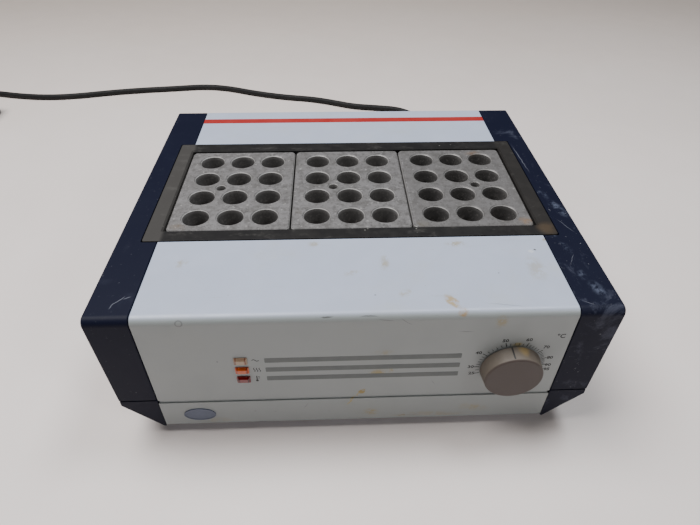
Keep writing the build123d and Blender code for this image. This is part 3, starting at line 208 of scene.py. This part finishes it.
def area_light(name, place, target, size, power, color):
    data = bpy.data.lights.new(name, "AREA")
    data.shape, data.size, data.energy, data.color = "DISK", size, power, color
    light = bpy.data.objects.new(name, data)
    bpy.context.collection.objects.link(light)
    light.location = place
    light.rotation_euler = (Vector(target) - Vector(place)).to_track_quat("-Z", "Y").to_euler()


def make_stage():
    made = Finish("bench", ink(236, 227, 224), 0.5)
    made.tint(made.span(made.noise(5.0, 3.0), 0.35, 0.7, 0.0, 0.35), ink(226, 216, 211))
    # Painted shade: the bench is painted darker and warmer towards the rear, away from the lights
    made.tint(made.span(made.axis("Y"), 0.0, 1.1, 0.0, 0.8), ink(196, 182, 170))
    made.rough(made.span(made.noise(30.0, 4.0), 0.4, 0.7), 0.56)
    made.bump(made.noise(300.0, 3.0), 0.02)
    mesh = bpy.data.meshes.new("bench_top")
    half = BENCH_HALF_WIDTH
    corners = [(-half, -half, 0), (half, -half, 0), (half, half, 0), (-half, half, 0)]
    mesh.from_pydata(corners, [], [(0, 1, 2, 3)])
    mesh.materials.append(made.material)
    floor = bpy.data.objects.new("bench_top", mesh)
    bpy.context.collection.objects.link(floor)
    world = bpy.data.worlds.new("soft_room")
    world.use_nodes = True
    back = world.node_tree.nodes["Background"]
    back.inputs["Color"].default_value = ink(222, 226, 236)
    back.inputs["Strength"].default_value = 0.05
    bpy.context.scene.world = world
    area_light("key", (-0.60, 0.10, 1.6), (-0.1, -0.1, 0.0), 1.1, 37.0, (1.0, 0.985, 0.97))
    area_light("lamp", (0.50, 0.20, 1.5), (0.0, 0.0, 0.0), 0.45, 11.0, (0.93, 0.97, 1.0))
    area_light("side", (0.80, -0.80, 0.90), (0.05, -0.12, 0.04), 0.3, 2.6, (1.0, 0.99, 0.97))


make_camera()
make_stage()


# Mains lead
def cord_points():
    """The route, then flat turns that close inwards, rise a layer and open again to the plug."""
    points = [Vector(p) * MM for p in CORD_ROUTE]
    climb_start, climb_end, spread_start = 2.0, 2.5, 3.0
    low, high = CORD_RADIUS, 3 * CORD_RADIUS
    steps = int(COIL_TURNS * COIL_STEPS)
    for step in range(steps + 1):
        turns = step / COIL_STEPS
        rise = min(1.0, max(0.0, (turns - climb_start) / (climb_end - climb_start)))
        if turns < climb_start:
            radius = COIL_OUTER + (COIL_INNER - COIL_OUTER) * turns / climb_start
        else:
            radius = COIL_INNER + max(0.0, turns - spread_start) * COIL_PITCH
        angle = math.radians(90) + turns * 2 * math.pi
        points.append(Vector((
            (COIL_CENTRE[0] + radius * math.cos(angle)) * MM,
            (COIL_CENTRE[1] + radius * math.sin(angle)) * MM,
            low + (high - low) * rise * rise * (3 - 2 * rise))))
    return points + [Vector(p) * MM for p in PLUG_END]


def make_cord(material):
    curve = bpy.data.curves.new("mains_lead", "CURVE")
    curve.dimensions = "3D"
    spline = curve.splines.new("NURBS")
    points = cord_points()
    spline.points.add(len(points) - 1)
    for target, point in zip(spline.points, points):
        target.co = (*point, 1.0)
    spline.order_u = 3
    spline.use_endpoint_u = True
    spline.resolution_u = 6
    curve.bevel_depth = CORD_RADIUS
    curve.bevel_resolution = 5
    curve.use_fill_caps = True
    curve.materials.append(material)
    lead = bpy.data.objects.new("mains_lead", curve)
    bpy.context.collection.objects.link(lead)
    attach(lead, "housing")
    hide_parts("mains_cord", "cord_coil")


lead_rubber = grained("lead_rubber", ink(20, 20, 21), 0.6, ink(32, 31, 31), 0.5, 500.0, 0.015,
                      Specular_IOR_Level=0.3)
make_cord(lead_rubber.material)


# Finishes of the CAD pieces
def pale_paint():
    made = Finish("pale_paint", ink(175, 184, 204), 0.38, Coat_Weight=0.08, Coat_Roughness=0.3)
    made.tint(made.span(made.noise(9.0, 3.0), 0.4, 0.7, 0.0, 0.35), ink(168, 176, 193))
    yellowed = made.span(made.noise(26.0, 5.0, 0.65), 0.52, 0.74, 0.0, 0.22)
    made.tint(yellowed, ink(180, 182, 170))
    # Painted shade: the front face is painted darker and warmer than the top, standing in for the front
    # facing away from the lights and catching warm light off the bench
    made.tint(made.span(made.axis("Y"), -0.1205, -0.1235, 0.0, 0.85), ink(143, 148, 143))
    # Yellow-brown stains: centre, radii, turn, strength
    stains = (
        ((-99, -80, 101), (5, 4, 3), (0, 0, 0), 0.30),
        ((-23, -64, 101), (6, 4, 3), (0, 0, 0), 0.30),
        ((-2, -91, 101), (6, 3, 3), (0, 0, 20), 0.35),
        ((17, -82, 101), (4, 8, 3), (0, 0, 0), 0.35),
        ((26, -108, 101), (4, 4, 3), (0, 0, 0), 0.30),
        ((61, -66, 101), (8, 4, 3), (0, 0, 0), 0.40),
        ((103, -90, 101), (7, 14, 3), (0, 0, 0), 0.22),
        ((117, -64, 101), (4, 3, 3), (0, 0, 0), 0.75),
        ((75.6, -124, 94), (4, 2, 6), (0, 0, 0), 0.38),
        ((13, -124, 54), (7, 2, 5), (0, 15, 0), 0.60),
        ((19, -124, 56), (2.5, 2, 5), (0, 0, 0), 0.45),
        ((15, -124, 72), (7, 2, 3), (0, 0, 0), 0.25),
        ((9, -124, 16), (6, 2, 5), (0, 0, 0), 0.45),
        ((73, -124, 18), (12, 2, 5), (0, 10, 0), 0.32),
        ((45, -124, 12), (30, 2, 3), (0, 0, 0), 0.22),
        ((88.7, -124, 75), (5, 2, 3), (0, 0, 0), 0.65),
        ((-85, -124, 12), (12, 2, 3), (0, 0, 0), 0.20),
    )
    patchy = made.span(made.noise(210.0, 4.0, 0.7), 0.38, 0.58)
    for centre, radii, turn, strength in stains:
        spot = made.spot(centre, radii, turn, 0.7, 5.0)
        share = min(0.9, 1.6 * strength)
        made.tint(made.times(made.times(spot, patchy), share), ink(152, 138, 92))
    # Sharper runs of dried liquid
    runs = (
        ((50.5, -115, 101), (3.6, 7.5, 3), (0, 0, 35), 0.85, ink(166, 144, 100)),
        ((55, -121, 99.5), (3.6, 3.6, 3), (0, 0, 0), 0.9, ink(158, 130, 92)),
        ((3.4, -124, 37.0), (1.7, 2, 3.2), (0, 25, 0), 0.9, ink(150, 128, 50)),
        ((-1.5, -124, 30), (0.7, 2, 9.0), (0, 32, 0), 0.75, ink(176, 152, 70)),
        ((32, -124, 11.4), (10, 2, 0.8), (0, 0, 0), 0.6, ink(120, 104, 70)),
    )
    for centre, radii, turn, strength, color in runs:
        spot = made.spot(centre, radii, turn, 0.55, 4.0, 260.0)
        mottled = made.times(spot, made.span(patchy, 0.0, 0.6, 0.35, 1.0))
        made.tint(made.times(mottled, strength), color)
    # Scratches and chips: thin dark ellipses
    scratches = (
        ((58.5, -124, 87.2), (5.2, 1, 0.35), (0, 3, 0), 0.6),
        ((25.5, -124, 96), (5.5, 1, 0.3), (0, 38, 0), 0.45),
        ((15, -124, 97.5), (5, 1, 0.35), (0, 10, 0), 0.5),
        ((-16, -122.5, 99.6), (4, 2, 0.5), (0, 0, 0), 0.8),
        ((6, -122.5, 99.6), (6, 2, 0.4), (0, 0, 0), 0.7),
        ((-76.8, -124, 67.4), (0.6, 1, 0.6), (0, 0, 0), 0.8),
        ((80.7, -93, 101), (0.7, 0.7, 1), (0, 0, 0), 0.6),
        ((10, -108.7, 101), (0.6, 0.6, 1), (0, 0, 0), 0.7),
        ((107.2, -73, 101), (0.9, 0.9, 1), (0, 0, 0), 1.0),
        ((78, -118, 101), (14, 0.35, 1), (0, 0, -9), 0.35),
        ((45, -124, 44), (3, 1, 0.3), (0, 60, 0), 0.35),
        ((-30, -124, 24), (0.4, 1, 4), (0, 30, 0), 0.35),
        ((-61, -124, 20), (0.9, 1, 0.7), (0, 0, 0), 0.3),
        ((-49, -124, 19), (0.9, 1, 0.7), (0, 0, 0), 0.25),
    )
    for centre, radii, turn, strength in scratches:
        spot = made.spot(centre, radii, turn, 0.6, 1.2, 300.0)
        made.tint(made.times(spot, strength), ink(84, 84, 82))
    chip = made.spot((104.6, -74.5, 101), (2.2, 1.8, 1), (0, 0, 0), 0.6, 1.6, 500.0)
    made.tint(made.times(chip, 0.35), ink(226, 228, 226))
    # A small raised ring on the front edge
    ring = made.minus(made.spot((-91.7, -124, 98), (2.3, 2.3, 2.3), edge=0.2),
                    made.spot((-91.7, -124, 98), (1.6, 1.6, 1.6), edge=0.25))
    made.tint(made.times(ring, 0.6), ink(96, 96, 98))
    # Dust and hairline marks
    specks = made.span(made.cells(95.0), 0.05, 0.02)
    made.tint(made.times(specks, 0.4), ink(110, 104, 92))
    hair = made.span(made.noise(36.0, 2.0, 0.5, (1, 14, 5)), 0.70, 0.76, 0.0, 0.25)
    made.tint(hair, ink(150, 152, 152))
    made.rough(made.span(made.noise(60.0, 4.0), 0.4, 0.7), 0.52)
    made.bump(made.noise(420.0, 2.0, 0.4), 0.018)
    made.bump(made.minus(1.0, hair), 0.01)
    return made


def navy_plastic():
    made = Finish("navy_plastic", ink(17, 20, 38), 0.52, Specular_IOR_Level=0.12)
    made.tint(made.span(made.noise(20.0, 4.0, 0.6), 0.42, 0.7, 0.0, 0.5), ink(25, 28, 44))
    # Pale scuffs and dust, more of them on the right
    right = made.span(made.axis("X"), 0.0, 0.1)
    smudge = made.span(made.noise(55.0, 7.0, 0.72, (1, 0.8, 1), 0.5), 0.56, 0.70)
    made.tint(made.times(smudge, made.span(right, 0.0, 1.0, 0.05, 0.42)), ink(84, 88, 104))
    flecks = made.span(made.noise(430.0, 6.0, 0.75), 0.64, 0.70)
    made.tint(made.times(flecks, made.span(right, 0.0, 1.0, 0.2, 0.6)), ink(150, 152, 160))
    patches = (
        ((131.5, -108, 100.5), (5.5, 9, 4), (0, 0, 8), 0.75),
        ((127, -96, 100.5), (3, 6, 4), (0, 0, -10), 0.5),
        ((135.5, -30, 100.5), (4.5, 13, 4), (0, 0, 14), 0.85),
        ((131, -14, 100.5), (3, 8, 4), (0, 0, 0), 0.55),
        ((127, -72, 100.5), (3, 8, 4), (0, 0, 20), 0.45),
        ((123, -60, 100.5), (3, 3, 4), (0, 0, 0), 0.5),
    )
    grit = made.span(made.noise(260.0, 6.0, 0.75), 0.45, 0.62)
    for centre, radii, turn, strength in patches:
        spot = made.spot(centre, radii, turn, 0.8, 6.0, 90.0)
        made.tint(made.times(made.times(spot, grit), 0.6 * strength), ink(104, 112, 132))
    scratches = (
        ((-125.3, -109, 101), (0.35, 5, 1), (0, 0, -38), 0.8),
        ((-128, -113, 101), (0.3, 3, 1), (0, 0, -20), 0.6),
        ((-121.5, -107, 101), (0.3, 2.5, 1), (0, 0, -65), 0.7),
        ((129.4, 35, 101), (0.45, 24, 1), (0, 0, 3), 0.6),
        ((134, -50, 101), (0.3, 9, 1), (0, 0, 25), 0.5),
        ((122.5, -118, 101), (0.3, 4, 1), (0, 0, 60), 0.5),
        ((126.5, -82, 101), (0.25, 6, 1), (0, 0, -30), 0.5),
    )
    for centre, radii, turn, strength in scratches:
        spot = made.spot(centre, radii, turn, 0.5, 1.5, 200.0)
        made.tint(made.times(spot, 0.5 * strength), ink(150, 154, 166))
    made.rough(smudge, 0.55)
    made.bump(made.noise(700.0, 2.0, 0.5), 0.02)
    return made


def bezel_black():
    made = Finish("bezel_black", ink(24, 23, 24), 0.65, Specular_IOR_Level=0.2)
    cloud = made.span(made.noise(70.0, 6.0, 0.7, (1, 1, 1)), 0.4, 0.66)
    made.tint(made.times(cloud, 0.5), ink(42, 41, 40))
    # Painted light: the side bands are painted paler than the front and rear ones, the left one most,
    # standing in for the front and rear bands lying lower in shade
    left = made.span(made.axis("X"), -0.114, -0.117)
    made.tint(made.times(left, 0.65), ink(72, 70, 68))
    right = made.span(made.axis("X"), 0.114, 0.117)
    made.tint(made.times(right, 0.35), ink(50, 47, 44))
    worn = made.span(made.noise(140.0, 6.0, 0.75, (0.5, 1, 1)), 0.55, 0.68)
    made.tint(made.times(worn, 0.25), ink(92, 90, 87))
    flecks = made.span(made.cells(110.0), 0.07, 0.03)
    made.tint(made.times(flecks, 0.5), ink(160, 158, 152))
    brown = made.spot((121, -52, 101), (9, 9, 4), edge=0.8, wobble=6.0)
    made.tint(made.times(brown, 0.4), ink(92, 76, 56))
    made.rough(worn, 0.7)
    made.bump(made.noise(260.0, 4.0, 0.6), 0.06)
    return made


def block_aluminium():
    made = Finish("block_aluminium", ink(134, 132, 133), 0.5, 0.45)
    cloud = made.span(made.noise(48.0, 6.0, 0.68), 0.38, 0.66)
    made.tint(made.times(cloud, 0.6), ink(100, 98, 97))
    mottle = made.span(made.noise(170.0, 6.0, 0.75), 0.44, 0.62)
    made.tint(made.times(mottle, 0.6), ink(86, 84, 82))
    pits = made.span(made.noise(520.0, 5.0, 0.7), 0.56, 0.66)
    made.tint(made.times(pits, 0.6), ink(52, 50, 50))
    bright = made.span(made.noise(330.0, 5.0, 0.7), 0.58, 0.68)
    made.tint(made.times(bright, 0.45), ink(204, 202, 200))
    # Painted highlight along the upper edges of the wells and of the block: the metal is painted paler from
    # just below the top face downwards
    edge = made.span(made.axis("Z"), 0.0996, 0.0999, 1.0, 0.0)
    made.tint(made.times(edge, 0.5), ink(214, 212, 210))
    # The right block is duller than the others
    made.tint(made.span(made.axis("X"), 0.0405, 0.0415, 0.0, 0.4), ink(96, 94, 93))
    # Painted shade: darker down inside the wells; pale dust specks are laid over the same depth
    depth = made.span(made.axis("Z"), 0.0992, 0.096, 0.0, 0.6)
    made.tint(depth, ink(66, 63, 63))
    dust = made.span(made.noise(620.0, 4.0, 0.7), 0.52, 0.66)
    made.tint(made.times(dust, made.times(depth, 0.9)), ink(176, 172, 168))
    marks = (
        ((111.5, -43, 100.2), (6, 5, 4), (0, 0, 0), 0.75, ink(150, 118, 88)),
        ((96, 44, 100.2), (9, 5, 4), (0, 0, 0), 0.5, ink(134, 106, 84)),
        ((45, -44, 100.2), (6, 5, 4), (0, 0, 0), 0.4, ink(112, 104, 84)),
        ((-109, -44, 100.2), (8, 5, 4), (0, 0, 0), 0.45, ink(120, 104, 84)),
        ((-34, -29, 100.2), (4, 6, 4), (0, 0, 0), 0.5, ink(96, 90, 80)),
        ((19, -45, 100.2), (4.5, 1.8, 4), (0, 0, 0), 0.75, ink(50, 48, 48)),
        ((-60, 47, 100.2), (16, 3, 4), (0, 0, 0), 0.3, ink(80, 78, 78)),
        ((28, 45, 100.2), (10, 4, 4), (0, 0, 0), 0.4, ink(78, 76, 78)),
    )
    for centre, radii, turn, strength, color in marks:
        spot = made.spot(centre, radii, turn, 0.8, 6.0, 140.0)
        mottled = made.times(spot, made.span(mottle, 0.0, 1.0, 0.4, 1.0))
        made.tint(made.times(mottled, strength), color)
    made.rough(cloud, 0.6)
    made.bump(made.noise(240.0, 5.0, 0.7), 0.09)
    made.bump(made.noise(60.0, 3.0, 0.5, (30, 1, 1)), 0.012)
    return made


def knob_plastic():
    made = Finish("knob_plastic", ink(104, 96, 87), 0.48, Specular_IOR_Level=0.35)
    # Painted shade: the face is painted darker and redder than the side, standing in for the face lying in
    # shade
    shaded_face = made.span(made.axis("Y"), -0.1322, -0.1330)
    made.tint(shaded_face, ink(76, 66, 62))
    cloud = made.span(made.noise(70.0, 5.0, 0.65), 0.42, 0.66)
    made.tint(made.times(cloud, 0.35), ink(80, 71, 66))
    spot = made.spot((91.5, -126.5, 74), (4.5, 5, 3), edge=0.8, wobble=3.0)
    made.tint(made.times(spot, 0.5), ink(158, 134, 76))
    made.rough(cloud, 0.52)
    made.bump(made.noise(620.0, 3.0, 0.5), 0.02)
    return made


def lens(name, color, dark, deep):
    """A clear moulded lens with ribs inside that show darker at both ends."""
    made = Finish(name, color, 0.16, Coat_Weight=0.3, Coat_Roughness=0.08)
    for place in (-0.0666, -0.0614):
        band = made.spot((place * 1000, -125, 59.6), (0.55, 6, 40), edge=0.5)
        made.tint(made.times(band, deep), dark)
    made.tint(made.span(made.noise(300.0, 3.0), 0.4, 0.66, 0.0, 0.3), dark)
    made.bump(made.noise(500.0, 2.0), 0.015)
    return made


def dress(finish, *names):
    for name in names:
        node = nodes[name]
        node.data.materials.clear()
        node.data.materials.append(finish.material)


pale = pale_paint()
navy = navy_plastic()
steel = grained("turned_steel", ink(168, 168, 170), 0.32, ink(140, 138, 136), 0.4, 900.0, 0.01, 0.95)
brass = grained("plated_brass", ink(186, 158, 104), 0.3, ink(150, 122, 76), 0.5, 700.0, 0.012, 0.95)
black = grained("black_moulding", ink(30, 30, 31), 0.36, ink(42, 41, 41), 0.5, 800.0, 0.02)
rubber = grained("foot_rubber", ink(34, 33, 33), 0.72, ink(54, 52, 50), 0.6, 500.0, 0.05)
nylon = grained("pale_nylon", ink(206, 204, 194), 0.42, ink(188, 184, 170), 0.5, 600.0, 0.02)
sheet = grained("tray_aluminium", ink(164, 163, 161), 0.4, ink(128, 126, 122), 0.6, 400.0, 0.02, 0.85)
dress(pale, "top_cover", "base_tray")
dress(navy, "left_cheek", "right_cheek", "left_base_cheek", "right_base_cheek")
dress(bezel_black(), "bezel")
dress(block_aluminium(), "block_left", "block_middle", "block_right")
dress(knob_plastic(), "knob")
dress(steel, "clamp_plate", "sensor_probe", "tray_pillars", "knob_spindle", "potentiometer", "transformer",
      "foot_screws", "cover_screws", "pillar_screws", "cheek_screws")
dress(brass, "pot_nut", "board_pillars", "earth_stud", "earth_nuts", "plug_pins")
dress(black, "thermal_cutout", "rocker_frame", "rocker", "fuse_holder", "fuse_cap", "panel_nuts", "relay",
      "capacitors", "control_chip", "triac", "plug_body")
dress(rubber, "rubber_feet", "cord_gland")
dress(nylon, "lamp_bodies", "board_connector", "terminal_block")
dress(sheet, "block_tray", "heat_sink")
dress(grained("heater_mat", ink(170, 84, 42), 0.6, ink(140, 66, 36), 0.5, 500.0, 0.03), "heater_mat")
dress(grained("fibre_jacket", ink(214, 208, 190), 0.9, ink(192, 182, 158), 0.7, 260.0, 0.3),
      "insulation_jacket")
dress(grained("circuit_green", ink(34, 84, 52), 0.38, ink(26, 66, 44), 0.5, 300.0, 0.02), "circuit_board")
dress(grained("pointer_black", ink(20, 20, 20), 0.5, ink(34, 33, 32), 0.5, 700.0, 0.01), "knob_pointer")
dress(grained("badge_enamel", ink(96, 104, 122), 0.3, ink(84, 92, 112), 0.5, 500.0, 0.01, 0.3), "badge_plate")
glass = grained("fuse_glass", ink(210, 222, 222), 0.08, ink(196, 208, 208), 0.4, 300.0, 0.004,
                Transmission_Weight=0.85)
dress(glass, "fuse_link")
dress(lens("lens_clear", ink(166, 144, 120), ink(120, 60, 40), 0.7), "lamp_power")
dress(lens("lens_amber", ink(204, 88, 18), ink(130, 34, 16), 0.75), "lamp_heat")
dress(lens("lens_red", ink(122, 12, 12), ink(70, 10, 12), 0.7), "lamp_overtemp")


# Printed marks: thin closed slabs of ink on the front panel and the rear strip
def prism(name, outlines, place, finish, depth=INK):
    """Flat outlines, in metres, as one closed slab. place maps (u, v, height) to a point."""
    work = bmesh.new()
    for outline in outlines:
        low = [work.verts.new(place(u, v, 0.0)) for u, v in outline]
        high = [work.verts.new(place(u, v, depth)) for u, v in outline]
        work.faces.new(list(reversed(low)))
        work.faces.new(high)
        for i in range(len(outline)):
            j = (i + 1) % len(outline)
            work.faces.new((low[i], low[j], high[j], high[i]))
    bmesh.ops.recalc_face_normals(work, faces=work.faces)
    mesh = bpy.data.meshes.new(name)
    work.to_mesh(mesh)
    work.free()
    mesh.materials.append(finish.material)
    piece = bpy.data.objects.new(name, mesh)
    bpy.context.collection.objects.link(piece)
    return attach(piece, "housing")


def on_front(u, v, height):
    return (u, FRONT_Y - height, v)


def on_top(u, v, height):
    return (u, v, TOP_Z + height)


def bar(x0, x1, y0, y1, corner=0.0003):
    """A rectangle with small cut corners."""
    c = corner
    return [(x0 + c, y0), (x1 - c, y0), (x1, y0 + c), (x1, y1 - c),
            (x1 - c, y1), (x0 + c, y1), (x0, y1 - c), (x0, y0 + c)]


def stroke(points, width):
    """The outline of a line of even width through the points."""
    left, right = [], []
    for i, point in enumerate(points):
        here = Vector(point)
        before = Vector(points[max(i - 1, 0)])
        after = Vector(points[min(i + 1, len(points) - 1)])
        along = (after - before).normalized()
        side = Vector((-along.y, along.x)) * width / 2
        left.append(tuple(here + side))
        right.append(tuple(here - side))
    return left + right[::-1]


def numerals(name, text, size, place, centre, finish, stretch=1.0):
    """Plain figures as a mesh slab, centred on a point of the front panel."""
    font = bpy.data.curves.new(name + "_outline", "FONT")
    font.body, font.size, font.align_x, font.align_y = text, size, "CENTER", "CENTER"
    font.resolution_u = 3
    font.extrude = INK / 2
    font.offset = 0.00007
    holder = bpy.data.objects.new(name + "_outline", font)
    bpy.context.collection.objects.link(holder)
    bpy.context.view_layer.update()
    graph = bpy.context.evaluated_depsgraph_get()
    mesh = bpy.data.meshes.new_from_object(holder.evaluated_get(graph))
    bpy.data.objects.remove(holder)
    for vertex in mesh.vertices:
        u, v, h = vertex.co
        vertex.co = place(centre[0] + u * stretch, centre[1] + v, h + INK / 2)
    mesh.materials.clear()
    mesh.materials.append(finish.material)
    mesh.name = name
    piece = bpy.data.objects.new(name, mesh)
    bpy.context.collection.objects.link(piece)
    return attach(piece, "housing")


grey_ink = grained("grey_ink", ink(97, 103, 103), 0.5, ink(104, 109, 108), 0.6, 300.0, 0.005)
black_ink = grained("black_ink", ink(20, 22, 24), 0.5, ink(34, 34, 34), 0.5, 500.0, 0.004)
red_ink = grained("red_ink", ink(152, 22, 17), 0.6, ink(160, 46, 38), 0.5, 260.0, 0.005)

for row, z in enumerate(BARS_Z):
    outline = bar(*BARS_X, z - BAR_HALF_HEIGHT, z + BAR_HALF_HEIGHT)
    prism(f"printed_bar_{row + 1}", [outline], on_front, grey_ink)
prism("rear_stripe", [bar(-STRIPE_HALF_WIDTH, STRIPE_HALF_WIDTH, *STRIPE_Y)], on_top, red_ink)

# Signs beside the lamps: a wave, three heat waves and a thermometer
def ripple(step, height):
    """Height of a single sine wave at one of its eight steps."""
    return height * math.sin(2 * math.pi * step / 8)


BULB_X, BULB_Z, BULB_RADIUS = -0.0566, 0.0500, 0.0008
wave = [(-0.0579 + 0.0038 * t / 8, 0.0678 + ripple(t, 0.0007)) for t in range(9)]
signs = [stroke(wave, 0.00045)]
for k in range(3):
    x = -0.0573 + 0.0015 * k
    heat = [(x + ripple(t, 0.0004), 0.0579 + 0.0034 * t / 8) for t in range(9)]
    signs.append(stroke(heat, 0.0004))
signs.append(stroke([(BULB_X, 0.0506), (BULB_X, 0.0542)], 0.0006))
signs.append([(BULB_X + BULB_RADIUS * math.cos(math.radians(30 * t)),
               BULB_Z + BULB_RADIUS * math.sin(math.radians(30 * t))) for t in range(12)])
for z in (0.0520, 0.0532):
    signs.append(bar(-0.0559, -0.0550, z, z + 0.0004, 0.0001))
prism("lamp_signs", signs, on_front, black_ink)

# Dial: tick marks and plain numbers round the knob
DIAL = (0.0875, 0.0573)
# Value and angle from the top in degrees; value and place of its number in millimetres
MARKS = ((25, -107), (30, -90), (40, -57), (50, -17), (60, 19.4), (70, 50.4), (80, 71.3), (90, 88), (95, 98))
LABELS = ((25, 66.3, 51.5), (30, 65.0, 57.4), (40, 67.7, 69.5), (50, 80.9, 79.1), (60, 93.9, 79.4),
          (70, 104.9, 73.0), (80, 109.1, 63.9), (90, 109.5, 57.4), (95, 109.7, 53.6))


def tick(angle, inner, outer, width):
    a = math.radians(angle)
    along = Vector((math.sin(a), math.cos(a)))
    centre = Vector(DIAL)
    return stroke([tuple(centre + along * inner), tuple(centre + along * outer)], width)


ticks = []
for (low, start), (high, end) in zip(MARKS, MARKS[1:]):
    ticks.append(tick(start, 0.0176, 0.0207, 0.00042))
    steps = (high - low) // 2 if high - low == 10 else 2
    for step in range(1, steps):
        ticks.append(tick(start + (end - start) * step / steps, 0.0177, 0.0196, 0.00028))
ticks.append(tick(MARKS[-1][1], 0.0176, 0.0207, 0.00042))
prism("dial_marks", ticks, on_front, black_ink)
for value, x, z in LABELS:
    numerals(f"dial_number_{value}", str(value), 0.0031, on_front, (x * MM, z * MM), black_ink, 1.15)
numerals("dial_unit", "°C", 0.0044, on_front, (0.1108, 0.0818), black_ink)
